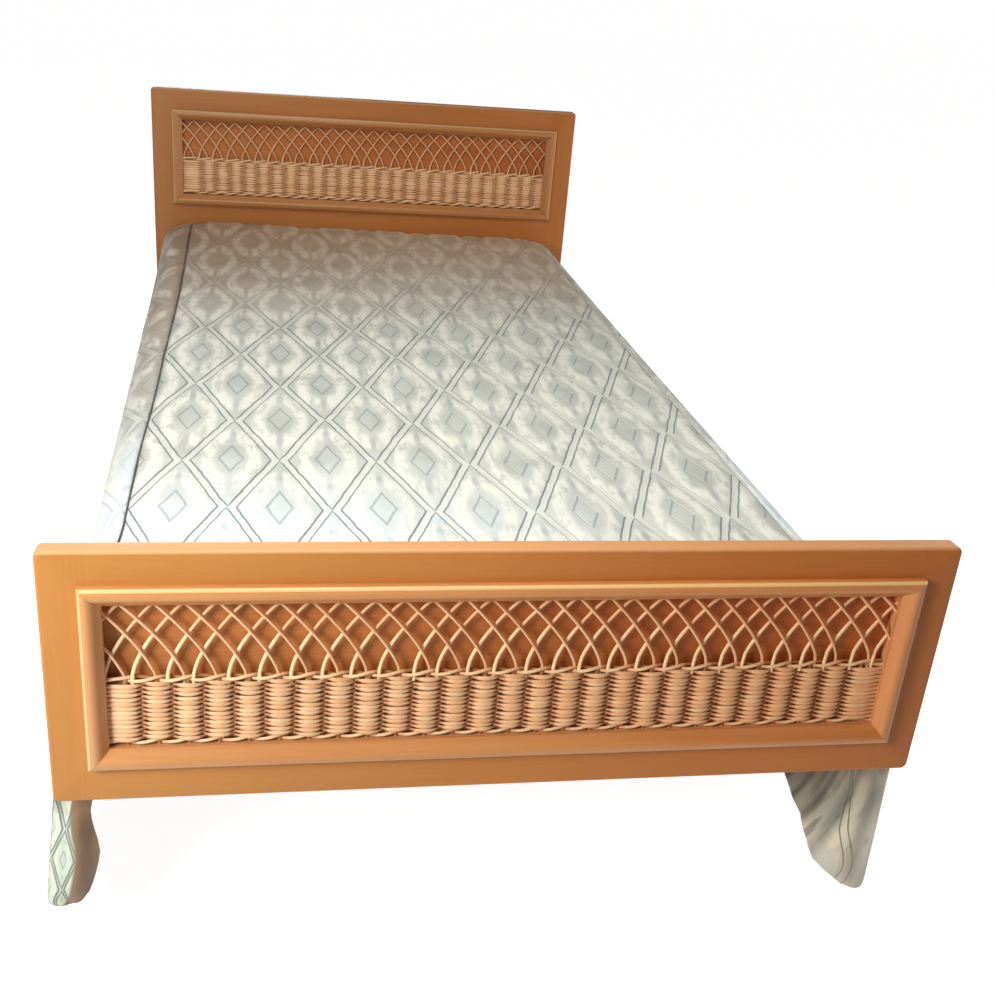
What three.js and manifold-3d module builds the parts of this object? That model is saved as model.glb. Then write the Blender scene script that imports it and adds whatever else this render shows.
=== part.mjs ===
// A single bed with a rattan panel framed in each end board, side rails with a slatted base,
// a foam mattress and a fitted bedspread. Millimetres, +Z up, +Y from the foot to the head.
// The origin is on the floor, at the centre of the whole bed.
import * as THREE from "three";
import { mergeVertices } from "three/addons/utils/BufferGeometryUtils.js";
import Module from "manifold-3d";

const wasm = await Module();
wasm.setup();

// Clearances between pieces that touch, and between cloth and what it lies on
const seatGap = 0.3;
const clothGap = 0.8;
const boardEndGap = 15; // between an end board and the mattress

// Both end boards
const board = { overhang: 40, thickness: 24, cornerRadius: 12, edgeRadius: 3.5 };
const footBoard = { top: 520, height: 295, sideMargin: 39, topMargin: 36.5, windowHeight: 213.5 };
const headBoard = {
  panelRise: 44.2, // of its window over the mattress
  height: 495,
  sideMargin: 44,
  topMargin: 43.5,
  windowHeight: 209,
};
const plywood = { thickness: 5, rebate: 8, recess: 2.3 };

// The moulding round each window, whose outer part sits on the frame and whose lip laps the panel
const moulding = { width: 22, seatWidth: 12, proud: 13.6, flank: 7, lipDepth: 2.5 };
const mouldingCrestShare = 0.36;
const mouldingShoulderShare = 0.14;
const mouldingInnerShare = 0.12;

// The rattan panel: a close-woven band below, an open lattice above
const weave = { columns: 27, rows: 13, bandHeight: 82, bandDepth: 9, relief: 3.2 };
const border = { height: 5.4, relief: 0.7, proud: 0.6 };
const cane = { diameter: 3.4, steps: 3, sides: 4, layerGap: 0.2, rootDepth: 3 };
const forwardCane = { rootShare: 0.3, leanShare: 1.7, bendShare: 1.5 };
const backwardCane = { rootShare: 0, leanShare: -2.07, bendShare: 1.65 };
const hoopOverlap = 1; // of the hidden hoop of stakes over the woven work inside it
const floatCrestShare = 0.3;
const borderRiseShare = 0.22;

// The base between the boards
const rail = { thickness: 22, height: 90, bottom: 210, edgeRadius: 3, mattressGap: 5 };
const cleat = { width: 22, height: 22, endInset: 52 };
const slat = { count: 12, width: 70, thickness: 17, endInset: 64 };
const bearer = { width: 60, inset: 340 };
const leg = {
  topRadius: 27,
  ankleRadius: 17,
  footRadius: 19,
  footHeight: 14,
  collar: 22,
  inset: 55,
  sides: 10,
};
const bracket = { leaf: 38, thickness: 3, height: 66 };

// The mattress
const mattress = {
  width: 900,
  length: 1900,
  height: 140,
  crown: 7,
  edgeRadius: 32,
  cornerRadius: 60,
  drawIn: 4,
};

// The bedspread: a top panel, two side drops sewn on at a piped seam
const spread = { thickness: 2.6, footTuck: 90, headTuck: 60, endGap: 4 };
const piping = { diameter: 5, sides: 6 };
const drop = { railGap: 2, hem: 30, fold: 4.5, foldPitch: 320, foldTop: 330 };
const flap = { turnRadius: 12, top: 190, rampHeight: 14, leastWidth: 2 };
const leftCorner = { flare: 26, hem: 59, widths: [47, 52, 43, 12] };
const rightCorner = { flare: 5, hem: 22, widths: [124, 90, 62, 12] };
const flapHeightShares = [1, 0.55, 0.22, 0];
const railSlopeShares = { across: 0.35, down: 0.55 };
const clothCounts = {
  sideSteps: 17,
  topSteps: 11,
  acrossSteps: 8,
  cornerSteps: 4,
  edgeSteps: 4,
  flapSteps: 6,
};

// Worked out from the sizes above
const innerLength = mattress.length + 2 * boardEndGap;
const boardsLength = innerLength + 2 * board.thickness;
const fullLength = boardsLength + moulding.proud;
const footFace = moulding.proud - fullLength / 2;
const headFace = footFace + board.thickness + innerLength;
const middleY = footFace + board.thickness + innerLength / 2;
const railInner = mattress.width / 2 + rail.mattressGap;
const railOuter = railInner + rail.thickness;
const railTop = rail.bottom + rail.height;
const cleatBottom = rail.bottom + (rail.height - cleat.height) / 2 - seatGap;
const slatBottom = cleatBottom + cleat.height + seatGap;
const mattressBottom = slatBottom + slat.thickness + seatGap;
const mattressTop = mattressBottom + mattress.height;
const caneRadius = cane.diameter / 2;
const boardWidth = mattress.width + 2 * board.overhang;
const headTop =
  mattressTop + headBoard.panelRise + headBoard.windowHeight + headBoard.topMargin;
const rebateFace = board.thickness - plywood.recess - plywood.thickness - seatGap;

// Materials
const finish = (color, roughness, metalness = 0) =>
  new THREE.MeshStandardMaterial({ color, roughness, metalness });
const frameWood = finish(0xb9743f, 0.42);
const mouldingWood = finish(0xc98a55, 0.38);
const rattan = finish(0xd9a57a, 0.5);
const panelWood = finish(0xa2633a, 0.55);
const slatWood = finish(0xd8b98a, 0.6);
const steel = finish(0x9a9c9f, 0.35, 0.9);
const ticking = finish(0xe8e4d8, 0.9);
const satin = finish(0xc6c8b4, 0.55);
const darkPiping = finish(0x4a4f4c, 0.7);
const palePiping = finish(0xe5dfc8, 0.7);

const bed = new THREE.Group();

function place(parent, name, geometry, material, x = 0, y = 0, z = 0) {
  const mesh = new THREE.Mesh(geometry, material);
  mesh.name = name;
  mesh.position.set(x, y, z);
  parent.add(mesh);
  return mesh;
}

// Solids for joining and cutting
function toSolid(geometry) {
  const bare = geometry.clone();
  bare.deleteAttribute("normal");
  bare.deleteAttribute("uv");
  const merged = mergeVertices(bare, 1e-4);
  return new wasm.Manifold(
    new wasm.Mesh({
      numProp: 3,
      vertProperties: merged.attributes.position.array,
      triVerts: new Uint32Array(merged.index.array),
    }),
  );
}

function toGeometry(solid) {
  const mesh = solid.getMesh();
  const geometry = new THREE.BufferGeometry();
  geometry.setAttribute("position", new THREE.BufferAttribute(mesh.vertProperties, 3));
  geometry.setIndex(new THREE.BufferAttribute(mesh.triVerts, 1));
  return geometry;
}

// A closed mesh from points and triangles, with its faces turned outwards
function closedGeometry(points, triangles) {
  let volume = 0;
  for (const [a, b, c] of triangles) {
    volume += points[a].dot(new THREE.Vector3().crossVectors(points[b], points[c]));
  }
  const index = triangles.flatMap(([a, b, c]) => (volume < 0 ? [a, c, b] : [a, b, c]));
  const geometry = new THREE.BufferGeometry().setFromPoints(points);
  geometry.setIndex(index);
  return geometry;
}

// Turns an extrusion so that its own x, y and z run along the given directions
function turned(geometry, x, y, z) {
  const basis = new THREE.Matrix4().makeBasis(
    new THREE.Vector3(...x),
    new THREE.Vector3(...y),
    new THREE.Vector3(...z),
  );
  return geometry.applyMatrix4(basis);
}

// A rectangle from its corner, with rounded corners where a radius is given
function rectangle(x, y, width, height, radius = 0) {
  const shape = new THREE.Shape();
  if (!radius) {
    shape.moveTo(x, y).lineTo(x + width, y);
    shape.lineTo(x + width, y + height).lineTo(x, y + height);
    return shape;
  }
  const right = x + width - radius;
  const top = y + height - radius;
  shape.absarc(right, y + radius, radius, -Math.PI / 2, 0);
  shape.absarc(right, top, radius, 0, Math.PI / 2);
  shape.absarc(x + radius, top, radius, Math.PI / 2, Math.PI);
  shape.absarc(x + radius, y + radius, radius, Math.PI, 1.5 * Math.PI);
  return shape;
}

// An outline in x and z carried from yFrom to yTo
function slab(shape, yFrom, yTo, options = {}) {
  const bevel = options.bevelThickness ?? 0;
  const geometry = new THREE.ExtrudeGeometry(shape, {
    depth: yTo - yFrom - 2 * bevel,
    bevelEnabled: false,
    curveSegments: 4,
    ...options,
  });
  return turned(geometry, [1, 0, 0], [0, 0, 1], [0, -1, 0]).translate(0, yTo - bevel, 0);
}

// An outline in x and y carried from zFrom to zTo
function column(shape, zFrom, zTo) {
  const options = { depth: zTo - zFrom, bevelEnabled: false, curveSegments: 3 };
  return new THREE.ExtrudeGeometry(shape, options).translate(0, 0, zFrom);
}

// An outline in y and z carried from xFrom to xTo
function bar(shape, xFrom, xTo) {
  const options = { depth: xTo - xFrom, bevelEnabled: false, curveSegments: 1 };
  const geometry = new THREE.ExtrudeGeometry(shape, options);
  return turned(geometry, [0, 1, 0], [0, 0, 1], [1, 0, 0]).translate(xFrom, 0, 0);
}

// The frame of an end board: a blank with eased edges and round corners, with its window cut out
// and rebated at the back for the plywood, then parted into two stiles and two rails.
function framePieces(sizes) {
  const { thickness, edgeRadius, cornerRadius } = board;
  const blankShape = rectangle(
    -boardWidth / 2 + edgeRadius,
    -sizes.height + edgeRadius,
    boardWidth - 2 * edgeRadius,
    sizes.height - 2 * edgeRadius,
    cornerRadius - edgeRadius,
  );
  const blank = toSolid(
    slab(blankShape, 0, thickness, {
      bevelEnabled: true,
      bevelThickness: edgeRadius,
      bevelSize: edgeRadius,
      bevelSegments: 1,
    }),
  );
  const { halfWidth, top, bottom } = windowOf(sizes);
  const window = rectangle(-halfWidth, bottom, 2 * halfWidth, top - bottom);
  const { rebate } = plywood;
  const rebateShape = rectangle(
    -halfWidth - rebate,
    bottom - rebate,
    2 * (halfWidth + rebate),
    top - bottom + 2 * rebate,
  );
  const frame = blank
    .subtract(toSolid(slab(window, -thickness, 2 * thickness)))
    .subtract(toSolid(slab(rebateShape, rebateFace, 2 * thickness)));
  const beyond = boardWidth;
  const part = (x, z, w, h) =>
    toGeometry(frame.intersect(toSolid(slab(rectangle(x, z, w, h), -thickness, 2 * thickness))));
  const inner = halfWidth - seatGap;
  return {
    left_stile: part(-beyond, -beyond, beyond - halfWidth, 2 * beyond),
    right_stile: part(halfWidth, -beyond, beyond - halfWidth, 2 * beyond),
    top_rail: part(-inner, top - rebate, 2 * inner, beyond),
    bottom_rail: part(-inner, bottom + rebate - beyond, 2 * inner, beyond),
  };
}

// The window cut through the frame, measured from the top of the board, z upwards
function windowOf(sizes) {
  const lap = moulding.seatWidth - seatGap;
  return {
    halfWidth: boardWidth / 2 - sizes.sideMargin - lap,
    top: -sizes.topMargin - lap,
    bottom: -sizes.topMargin - sizes.windowHeight + lap,
  };
}

// The moulding's section: x inwards from its outer edge, y proud of the frame's face
function mouldingShape() {
  const { width, seatWidth, proud, flank, lipDepth } = moulding;
  const crest = width * mouldingCrestShare;
  const shoulder = width * mouldingShoulderShare;
  const inner = proud * mouldingInnerShare;
  const shape = new THREE.Shape();
  shape.moveTo(0, seatGap).lineTo(0, flank);
  shape.quadraticCurveTo(0, proud - shoulder / 2, shoulder, proud - shoulder / 2);
  shape.quadraticCurveTo(crest, proud + shoulder / 2, (crest + width) / 2, proud - shoulder);
  shape.quadraticCurveTo(width - shoulder, proud / 2, width, inner);
  shape.lineTo(width, -lipDepth).lineTo(seatWidth, -lipDepth).lineTo(seatWidth, seatGap);
  return shape;
}

// One length of moulding, mitred at both ends: the further inwards, the shorter
function mitredLength(length) {
  const geometry = new THREE.ExtrudeGeometry(mouldingShape(), {
    depth: length,
    bevelEnabled: false,
    curveSegments: 2,
  });
  const position = geometry.attributes.position;
  for (let i = 0; i < position.count; i++) {
    const back = position.getX(i) + seatGap;
    const nearStart = position.getZ(i) < length / 2;
    position.setZ(i, nearStart ? back : length - back);
  }
  return geometry;
}

function addMouldings(group, prefix, sizes) {
  const outerX = boardWidth / 2 - sizes.sideMargin;
  const top = -sizes.topMargin;
  const bottom = top - sizes.windowHeight;
  const across = () => mitredLength(2 * outerX);
  const upright = () => mitredLength(sizes.windowHeight);
  const out = [0, -1, 0];
  const pieces = [
    ["moulding_top", turned(across(), [0, 0, -1], out, [-1, 0, 0]), outerX, top],
    ["moulding_bottom", turned(across(), [0, 0, 1], out, [1, 0, 0]), -outerX, bottom],
    ["moulding_left", turned(upright(), [1, 0, 0], out, [0, 0, -1]), -outerX, top],
    ["moulding_right", turned(upright(), [-1, 0, 0], out, [0, 0, 1]), outerX, bottom],
  ];
  for (const [name, geometry, x, z] of pieces) {
    place(group, `${prefix}_${name}`, geometry, mouldingWood, x, 0, z);
  }
}

// The woven band as a relief of small hipped ridges: each column shows the floats of every other
// weaver, and in the border rows at the top and bottom the floats rise to the right, as twined
// canes do. Its outermost edges stay thick, so that the canes above root inside it.
function wovenBand(halfWidth, zLow, zHigh) {
  const { columns, rows, bandDepth, relief } = weave;
  const pitch = (2 * halfWidth) / columns;
  const front = -bandDepth / 2;
  const back = bandDepth / 2;
  const rowHeight = (zHigh - zLow - 2 * border.height) / rows;
  const levels = [zLow];
  for (let r = 0; r <= rows; r++) levels.push(zLow + border.height + r * rowHeight);
  levels.push(zHigh);
  const last = levels.length - 1;
  const points = [];
  const triangles = [];
  const add = (x, y, z) => points.push(new THREE.Vector3(x, y, z)) - 1;
  const lineX = (c) => c * pitch - halfWidth;
  const valley = levels.map((_, r) => front + (r % last ? relief : border.relief));
  const face = Array.from({ length: columns + 1 }, (_, c) =>
    levels.map((z, r) => add(lineX(c), valley[r], z)),
  );
  for (let c = 0; c < columns; c++) {
    const [left, right] = [face[c], face[c + 1]];
    for (let r = 0; r < last; r++) {
      const isBorder = r === 0 || r === last - 1;
      const middle = (levels[r] + levels[r + 1]) / 2;
      const rise = isBorder ? border.height * borderRiseShare : 0;
      const y = isBorder ? front - border.proud : front;
      const from = add(lineX(c) + pitch * floatCrestShare, y, middle - rise);
      const to = add(lineX(c + 1) - pitch * floatCrestShare, y, middle + rise);
      triangles.push([left[r], right[r], to], [left[r], to, from]);
      triangles.push([left[r + 1], to, right[r + 1]], [left[r + 1], from, to]);
      triangles.push([left[r], from, left[r + 1]], [right[r], right[r + 1], to]);
    }
  }
  const rim = [];
  for (let c = 0; c < columns; c++) rim.push([c, 0]);
  for (let r = 0; r < last; r++) rim.push([columns, r]);
  for (let c = columns; c > 0; c--) rim.push([c, last]);
  for (let r = last; r > 0; r--) rim.push([0, r]);
  const rear = rim.map(([c, r]) => add(lineX(c), back, levels[r]));
  const middle = add(0, back, (zLow + zHigh) / 2);
  rim.forEach(([c, r], i) => {
    const j = (i + 1) % rim.length;
    const a = face[c][r];
    const b = face[rim[j][0]][rim[j][1]];
    triangles.push([a, rear[i], b], [b, rear[i], rear[j]], [rear[i], middle, rear[j]]);
  });
  return closedGeometry(points, triangles);
}

// A cord through points that all lie about in one plane, which has the given normal
function cordGeometry(path, normal, radius, sides) {
  const points = [];
  const triangles = [];
  path.forEach((point, i) => {
    const before = path[Math.max(i - 1, 0)];
    const after = path[Math.min(i + 1, path.length - 1)];
    const along = after.clone().sub(before).normalize();
    const side = along.clone().cross(normal).normalize();
    const up = side.clone().cross(along);
    for (let k = 0; k < sides; k++) {
      const angle = (2 * Math.PI * k) / sides;
      const corner = point.clone().addScaledVector(side, radius * Math.cos(angle));
      points.push(corner.addScaledVector(up, radius * Math.sin(angle)));
    }
  });
  const last = sides * (path.length - 1);
  for (let i = 0; i < last; i += sides) {
    for (let k = 0; k < sides; k++) {
      const [a, b] = [i + k, i + ((k + 1) % sides)];
      triangles.push([a, b, b + sides], [a, b + sides, a + sides]);
    }
  }
  for (let k = 1; k + 1 < sides; k++) {
    triangles.push([0, k + 1, k], [last, last + k, last + k + 1]);
  }
  return closedGeometry(points, triangles);
}

// The x of a cane at a share s of the lattice's height: upright at its root, leaning at the top
function caneX(kind, column, pitch, halfWidth, s) {
  const root = (column + 0.5 + kind.rootShare) * pitch - halfWidth;
  return root + kind.leanShare * pitch * Math.sign(s) * Math.abs(s) ** kind.bendShare;
}

// The canes of one layer, each kept between the side stakes of the panel
function latticeCanes(kind, y, halfWidth, bandTop, openTop, hoopTop) {
  const { columns } = weave;
  const pitch = (2 * halfWidth) / columns;
  const height = openTop - bandTop;
  const reach = Math.ceil(Math.abs(kind.leanShare)) + 1;
  const limit = halfWidth + hoopOverlap + caneRadius;
  const canes = [];
  for (let c = -reach; c < columns + reach; c++) {
    const low = c >= 0 && c < columns ? -cane.rootDepth / height : 0;
    const high = (hoopTop - bandTop) / height;
    const inside = [];
    const samples = 60;
    for (let i = 0; i <= samples; i++) {
      const s = low + ((high - low) * i) / samples;
      if (Math.abs(caneX(kind, c, pitch, halfWidth, s)) <= limit) inside.push(s);
    }
    if (inside.length < samples / 6) continue;
    const [from, to] = [inside[0], inside.at(-1)];
    const steps = Math.max(Math.round((cane.steps * (to - from)) / (high - low)), 1);
    const path = Array.from({ length: steps + 1 }, (_, i) => {
      const s = from + ((to - from) * i) / steps;
      return new THREE.Vector3(caneX(kind, c, pitch, halfWidth, s), y, bandTop + s * height);
    });
    canes.push(cordGeometry(path, new THREE.Vector3(0, 1, 0), caneRadius, cane.sides));
  }
  return canes;
}

// The whole panel in one body: a hoop of stakes hidden behind the moulding, the band and the two
// layers of canes. Its own z is up from the bottom of the window.
function wovenPanel(sizes) {
  const window = windowOf(sizes);
  const halfWidth = window.halfWidth - seatGap;
  const height = window.top - window.bottom - 2 * seatGap;
  const lip = moulding.width - moulding.seatWidth;
  const openHalf = halfWidth - lip;
  const openTop = height - lip;
  const inset = lip - hoopOverlap;
  const hoopShape = rectangle(-halfWidth, 0, 2 * halfWidth, height);
  hoopShape.holes.push(
    rectangle(-halfWidth + inset, inset, 2 * (halfWidth - inset), height - 2 * inset),
  );
  const layer = (cane.diameter + cane.layerGap) / 2;
  const front = -weave.bandDepth / 2 - border.proud;
  const bandTop = lip + weave.bandHeight;
  const hoopMiddle = height - inset / 2;
  const pieces = [
    slab(hoopShape, front, front + rebateFace - moulding.lipDepth - seatGap),
    wovenBand(openHalf + 2 * hoopOverlap, inset - hoopOverlap, bandTop),
    ...latticeCanes(backwardCane, -layer, openHalf, bandTop, openTop, hoopMiddle),
    ...latticeCanes(forwardCane, layer, openHalf, bandTop, openTop, hoopMiddle),
  ];
  return toGeometry(pieces.map(toSolid).reduce((whole, piece) => whole.add(piece)));
}

function addBoard(prefix, sizes, faceY, top) {
  const group = new THREE.Group();
  group.position.set(0, faceY, top);
  bed.add(group);
  for (const [name, geometry] of Object.entries(framePieces(sizes))) {
    place(group, `${prefix}_${name}`, geometry, frameWood);
  }
  addMouldings(group, prefix, sizes);
  const window = windowOf(sizes);
  const panelY = moulding.lipDepth + seatGap + border.proud + weave.bandDepth / 2;
  const panelZ = window.bottom + seatGap;
  place(group, `${prefix}_woven_panel`, wovenPanel(sizes), rattan, 0, panelY, panelZ);
  const lap = plywood.rebate - seatGap;
  const backShape = rectangle(
    -window.halfWidth - lap,
    window.bottom - lap,
    2 * (window.halfWidth + lap),
    window.top - window.bottom + 2 * lap,
  );
  const backFace = board.thickness - plywood.recess;
  const sheet = slab(backShape, backFace - plywood.thickness, backFace);
  place(group, `${prefix}_back_panel`, sheet, panelWood);
}

// The base: side rails bracketed to the boards, cleats, slats, bearers and legs
function addBase() {
  const base = new THREE.Group();
  base.position.set(0, middleY, 0);
  bed.add(base);
  const halfInner = innerLength / 2;
  const railShape = rectangle(
    -rail.thickness / 2,
    rail.bottom,
    rail.thickness,
    rail.height,
    rail.edgeRadius,
  );
  const lengthwise = (shape, half) => slab(shape, -half, half, { curveSegments: 1 });
  for (const [side, sign] of [["left", -1], ["right", 1]]) {
    const railX = sign * (railInner + rail.thickness / 2);
    const railBody = lengthwise(railShape, halfInner - seatGap);
    place(base, `${side}_side_rail`, railBody, frameWood, railX);
    const cleatShape = rectangle(-cleat.width / 2, cleatBottom, cleat.width, cleat.height);
    const cleatX = sign * (railInner - seatGap - cleat.width / 2);
    const cleatBody = lengthwise(cleatShape, halfInner - cleat.endInset);
    place(base, `${side}_cleat`, cleatBody, slatWood, cleatX);
    for (const [end, way] of [["foot", -1], ["head", 1]]) {
      const name = `${end}_${side}_bracket`;
      const x = sign * (railInner - seatGap);
      const y = way * (halfInner - seatGap);
      place(base, name, bracketBody(-sign, -way), steel, x, y);
      addLeg(base, end, side, sign, way);
    }
  }
  const slatSpan = innerLength - 2 * slat.endInset - slat.width;
  const slatHalf = railInner - seatGap;
  for (let i = 0; i < slat.count; i++) {
    const y = -slatSpan / 2 + (slatSpan * i) / (slat.count - 1);
    const shape = rectangle(
      -slat.width / 2,
      slatBottom,
      slat.width,
      slat.thickness,
      rail.edgeRadius,
    );
    const number = String(i + 1).padStart(2, "0");
    place(base, `slat_${number}`, bar(shape, -slatHalf, slatHalf), slatWood, 0, y);
  }
  for (const [end, way] of [["foot", -1], ["head", 1]]) {
    const height = cleatBottom - seatGap - rail.bottom;
    const shape = rectangle(-bearer.width / 2, rail.bottom, bearer.width, height);
    const body = bar(shape, -railInner + seatGap, railInner - seatGap);
    place(base, `${end}_bearer`, body, slatWood, 0, way * (halfInner - bearer.inset));
  }
}

// A steel angle in the corner between a board and a rail
function bracketBody(towardsX, towardsY) {
  const { leaf, thickness, height } = bracket;
  const shape = new THREE.Shape();
  shape.moveTo(0, 0).lineTo(towardsX * leaf, 0);
  shape.lineTo(towardsX * leaf, towardsY * thickness);
  shape.lineTo(towardsX * thickness, towardsY * thickness);
  shape.lineTo(towardsX * thickness, towardsY * leaf).lineTo(0, towardsY * leaf);
  const from = rail.bottom + (rail.height - height) / 2;
  return column(shape, from, from + height);
}

// A turned leg that tapers to an ankle above a small foot
function addLeg(base, end, side, sign, way) {
  const { topRadius, ankleRadius, footRadius, footHeight, collar, inset } = leg;
  const height = rail.bottom - seatGap;
  const profile = [
    [0, 0],
    [ankleRadius, 0],
    [footRadius, footHeight / 2],
    [ankleRadius, footHeight],
    [(topRadius + ankleRadius) / 2, height / 2],
    [topRadius - collar / 8, height - collar],
    [topRadius, height - collar / 2],
    [topRadius, height],
    [0, height],
  ];
  const points = profile.map(([r, z]) => new THREE.Vector2(r, z));
  const body = new THREE.LatheGeometry(points, leg.sides).rotateX(Math.PI / 2);
  const x = sign * (railInner - inset);
  const y = way * (innerLength / 2 - bearer.inset);
  place(base, `${end}_${side}_leg`, body, slatWood, x, y);
}

// Height that the soft top of the mattress gains at a point
function crownAt(x, y) {
  const across = Math.min(Math.abs(x) / (mattress.width / 2), 1);
  const along = Math.min(Math.abs(y) / (mattress.length / 2), 1);
  return mattress.crown * (1 - across ** 2.5) * (1 - along ** 6);
}

// A ring of the mattress: its plan outline drawn in by an inset
function mattressRing(inset, height, crowned) {
  const halfWidth = mattress.width / 2 - inset;
  const halfLength = mattress.length / 2 - inset;
  const radius = Math.max(mattress.cornerRadius - inset, mattress.drawIn);
  const corners = [
    [1, -1, -Math.PI / 2],
    [1, 1, 0],
    [-1, 1, Math.PI / 2],
    [-1, -1, Math.PI],
  ];
  const ring = [];
  const arcSteps = clothCounts.cornerSteps;
  corners.forEach(([sx, sy, start], i) => {
    const cx = sx * Math.max(halfWidth - radius, 0);
    const cy = sy * (halfLength - radius);
    for (let k = 0; k <= arcSteps; k++) {
      const angle = start + (k * Math.PI) / 2 / arcSteps;
      ring.push([cx + radius * Math.cos(angle), cy + radius * Math.sin(angle)]);
    }
    const [nx, ny, nextStart] = corners[(i + 1) % 4];
    const next = [
      nx * Math.max(halfWidth - radius, 0) + radius * Math.cos(nextStart),
      ny * (halfLength - radius) + radius * Math.sin(nextStart),
    ];
    const last = ring.at(-1);
    const parts = i % 2 ? 3 : 6;
    for (let k = 1; k < parts; k++) {
      const t = k / parts;
      ring.push([last[0] + (next[0] - last[0]) * t, last[1] + (next[1] - last[1]) * t]);
    }
  });
  return ring.map(
    ([x, y]) => new THREE.Vector3(x, y, height + (crowned ? crownAt(x, y) : 0)),
  );
}

function mattressBody() {
  const { height, edgeRadius, drawIn, crown } = mattress;
  const flat = height - crown;
  const quarter = edgeRadius * (1 - Math.SQRT1_2);
  const halfWidth = mattress.width / 2;
  const rings = [
    mattressRing(edgeRadius, 0, false),
    mattressRing(quarter, quarter, false),
    mattressRing(0, edgeRadius, false),
    mattressRing(drawIn, flat / 2, false),
    mattressRing(0, flat - edgeRadius, false),
    mattressRing(quarter, flat - quarter, false),
    mattressRing(edgeRadius, flat, true),
    mattressRing(halfWidth / 3, flat, true),
    mattressRing((2 * halfWidth) / 3, flat, true),
    mattressRing(halfWidth - edgeRadius, flat, true),
  ];
  const count = rings[0].length;
  const points = rings.flat();
  const triangles = [];
  for (let r = 0; r + 1 < rings.length; r++) {
    for (let k = 0; k < count; k++) {
      const [a, b] = [r * count + k, r * count + ((k + 1) % count)];
      triangles.push([a, b, b + count], [a, b + count, a + count]);
    }
  }
  const low = points.push(new THREE.Vector3(0, 0, 0)) - 1;
  const high = points.push(new THREE.Vector3(0, 0, height)) - 1;
  const lastRing = (rings.length - 1) * count;
  for (let k = 0; k < count; k++) {
    const next = (k + 1) % count;
    triangles.push([low, next, k], [high, lastRing + k, lastRing + next]);
  }
  return closedGeometry(points, triangles);
}

// A sheet of cloth: a grid on the surface at(u, v), thickened evenly to both sides
function sheetBody(columns, rows, at, thickness) {
  const grid = Array.from({ length: columns + 1 }, (_, i) =>
    Array.from({ length: rows + 1 }, (_, j) => at(i, j)),
  );
  const points = [];
  const ids = [[], []];
  for (let i = 0; i <= columns; i++) {
    for (let j = 0; j <= rows; j++) {
      const alongU = grid[Math.min(i + 1, columns)][j].clone().sub(grid[Math.max(i - 1, 0)][j]);
      const alongV = grid[i][Math.min(j + 1, rows)].clone().sub(grid[i][Math.max(j - 1, 0)]);
      const normal = alongU.cross(alongV).normalize().multiplyScalar(thickness / 2);
      ids[0].push(points.push(grid[i][j].clone().add(normal)) - 1);
      ids[1].push(points.push(grid[i][j].clone().sub(normal)) - 1);
    }
  }
  const id = (side, i, j) => ids[side][i * (rows + 1) + j];
  const triangles = [];
  for (let i = 0; i < columns; i++) {
    for (let j = 0; j < rows; j++) {
      for (const side of [0, 1]) {
        const quad = [id(side, i, j), id(side, i + 1, j), id(side, i + 1, j + 1), id(side, i, j + 1)];
        if (side) quad.reverse();
        triangles.push([quad[0], quad[1], quad[2]], [quad[0], quad[2], quad[3]]);
      }
    }
  }
  const rim = [];
  for (let i = 0; i < columns; i++) rim.push([i, 0]);
  for (let j = 0; j < rows; j++) rim.push([columns, j]);
  for (let i = columns; i > 0; i--) rim.push([i, rows]);
  for (let j = rows; j > 0; j--) rim.push([0, j]);
  rim.forEach(([i, j], k) => {
    const [m, n] = rim[(k + 1) % rim.length];
    const [a, b] = [id(0, i, j), id(0, m, n)];
    const [c, d] = [id(1, i, j), id(1, m, n)];
    triangles.push([b, a, c], [b, c, d]);
  });
  return closedGeometry(points, triangles);
}

// Where the bedding's rounded corners are centred, and how far out from there the seam runs
const cornerX = mattress.width / 2 - mattress.cornerRadius;
const cornerY = mattress.length / 2 - mattress.cornerRadius;
const seamRadius = mattress.cornerRadius - mattress.edgeRadius;
const clothLift = clothGap + spread.thickness / 2;
const pipeHalf = piping.diameter / 2 + seatGap;
const topAt = (x, y) => mattressTop - mattress.crown + crownAt(x, y) + clothLift;

// Places along a side of the bedding, from round the foot corner to round the head corner: where
// each starts on the line through the corner centres, and which way is outwards from there
function sideStations(along) {
  const { cornerSteps } = clothCounts;
  const turn = Math.PI / 2 / cornerSteps;
  const stations = [];
  for (let k = cornerSteps; k > 0; k--) stations.push([-cornerY, -k * turn]);
  for (let k = 0; k <= along; k++) stations.push([-cornerY + (2 * cornerY * k) / along, 0]);
  for (let k = 1; k <= cornerSteps; k++) stations.push([cornerY, k * turn]);
  return stations;
}

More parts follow.
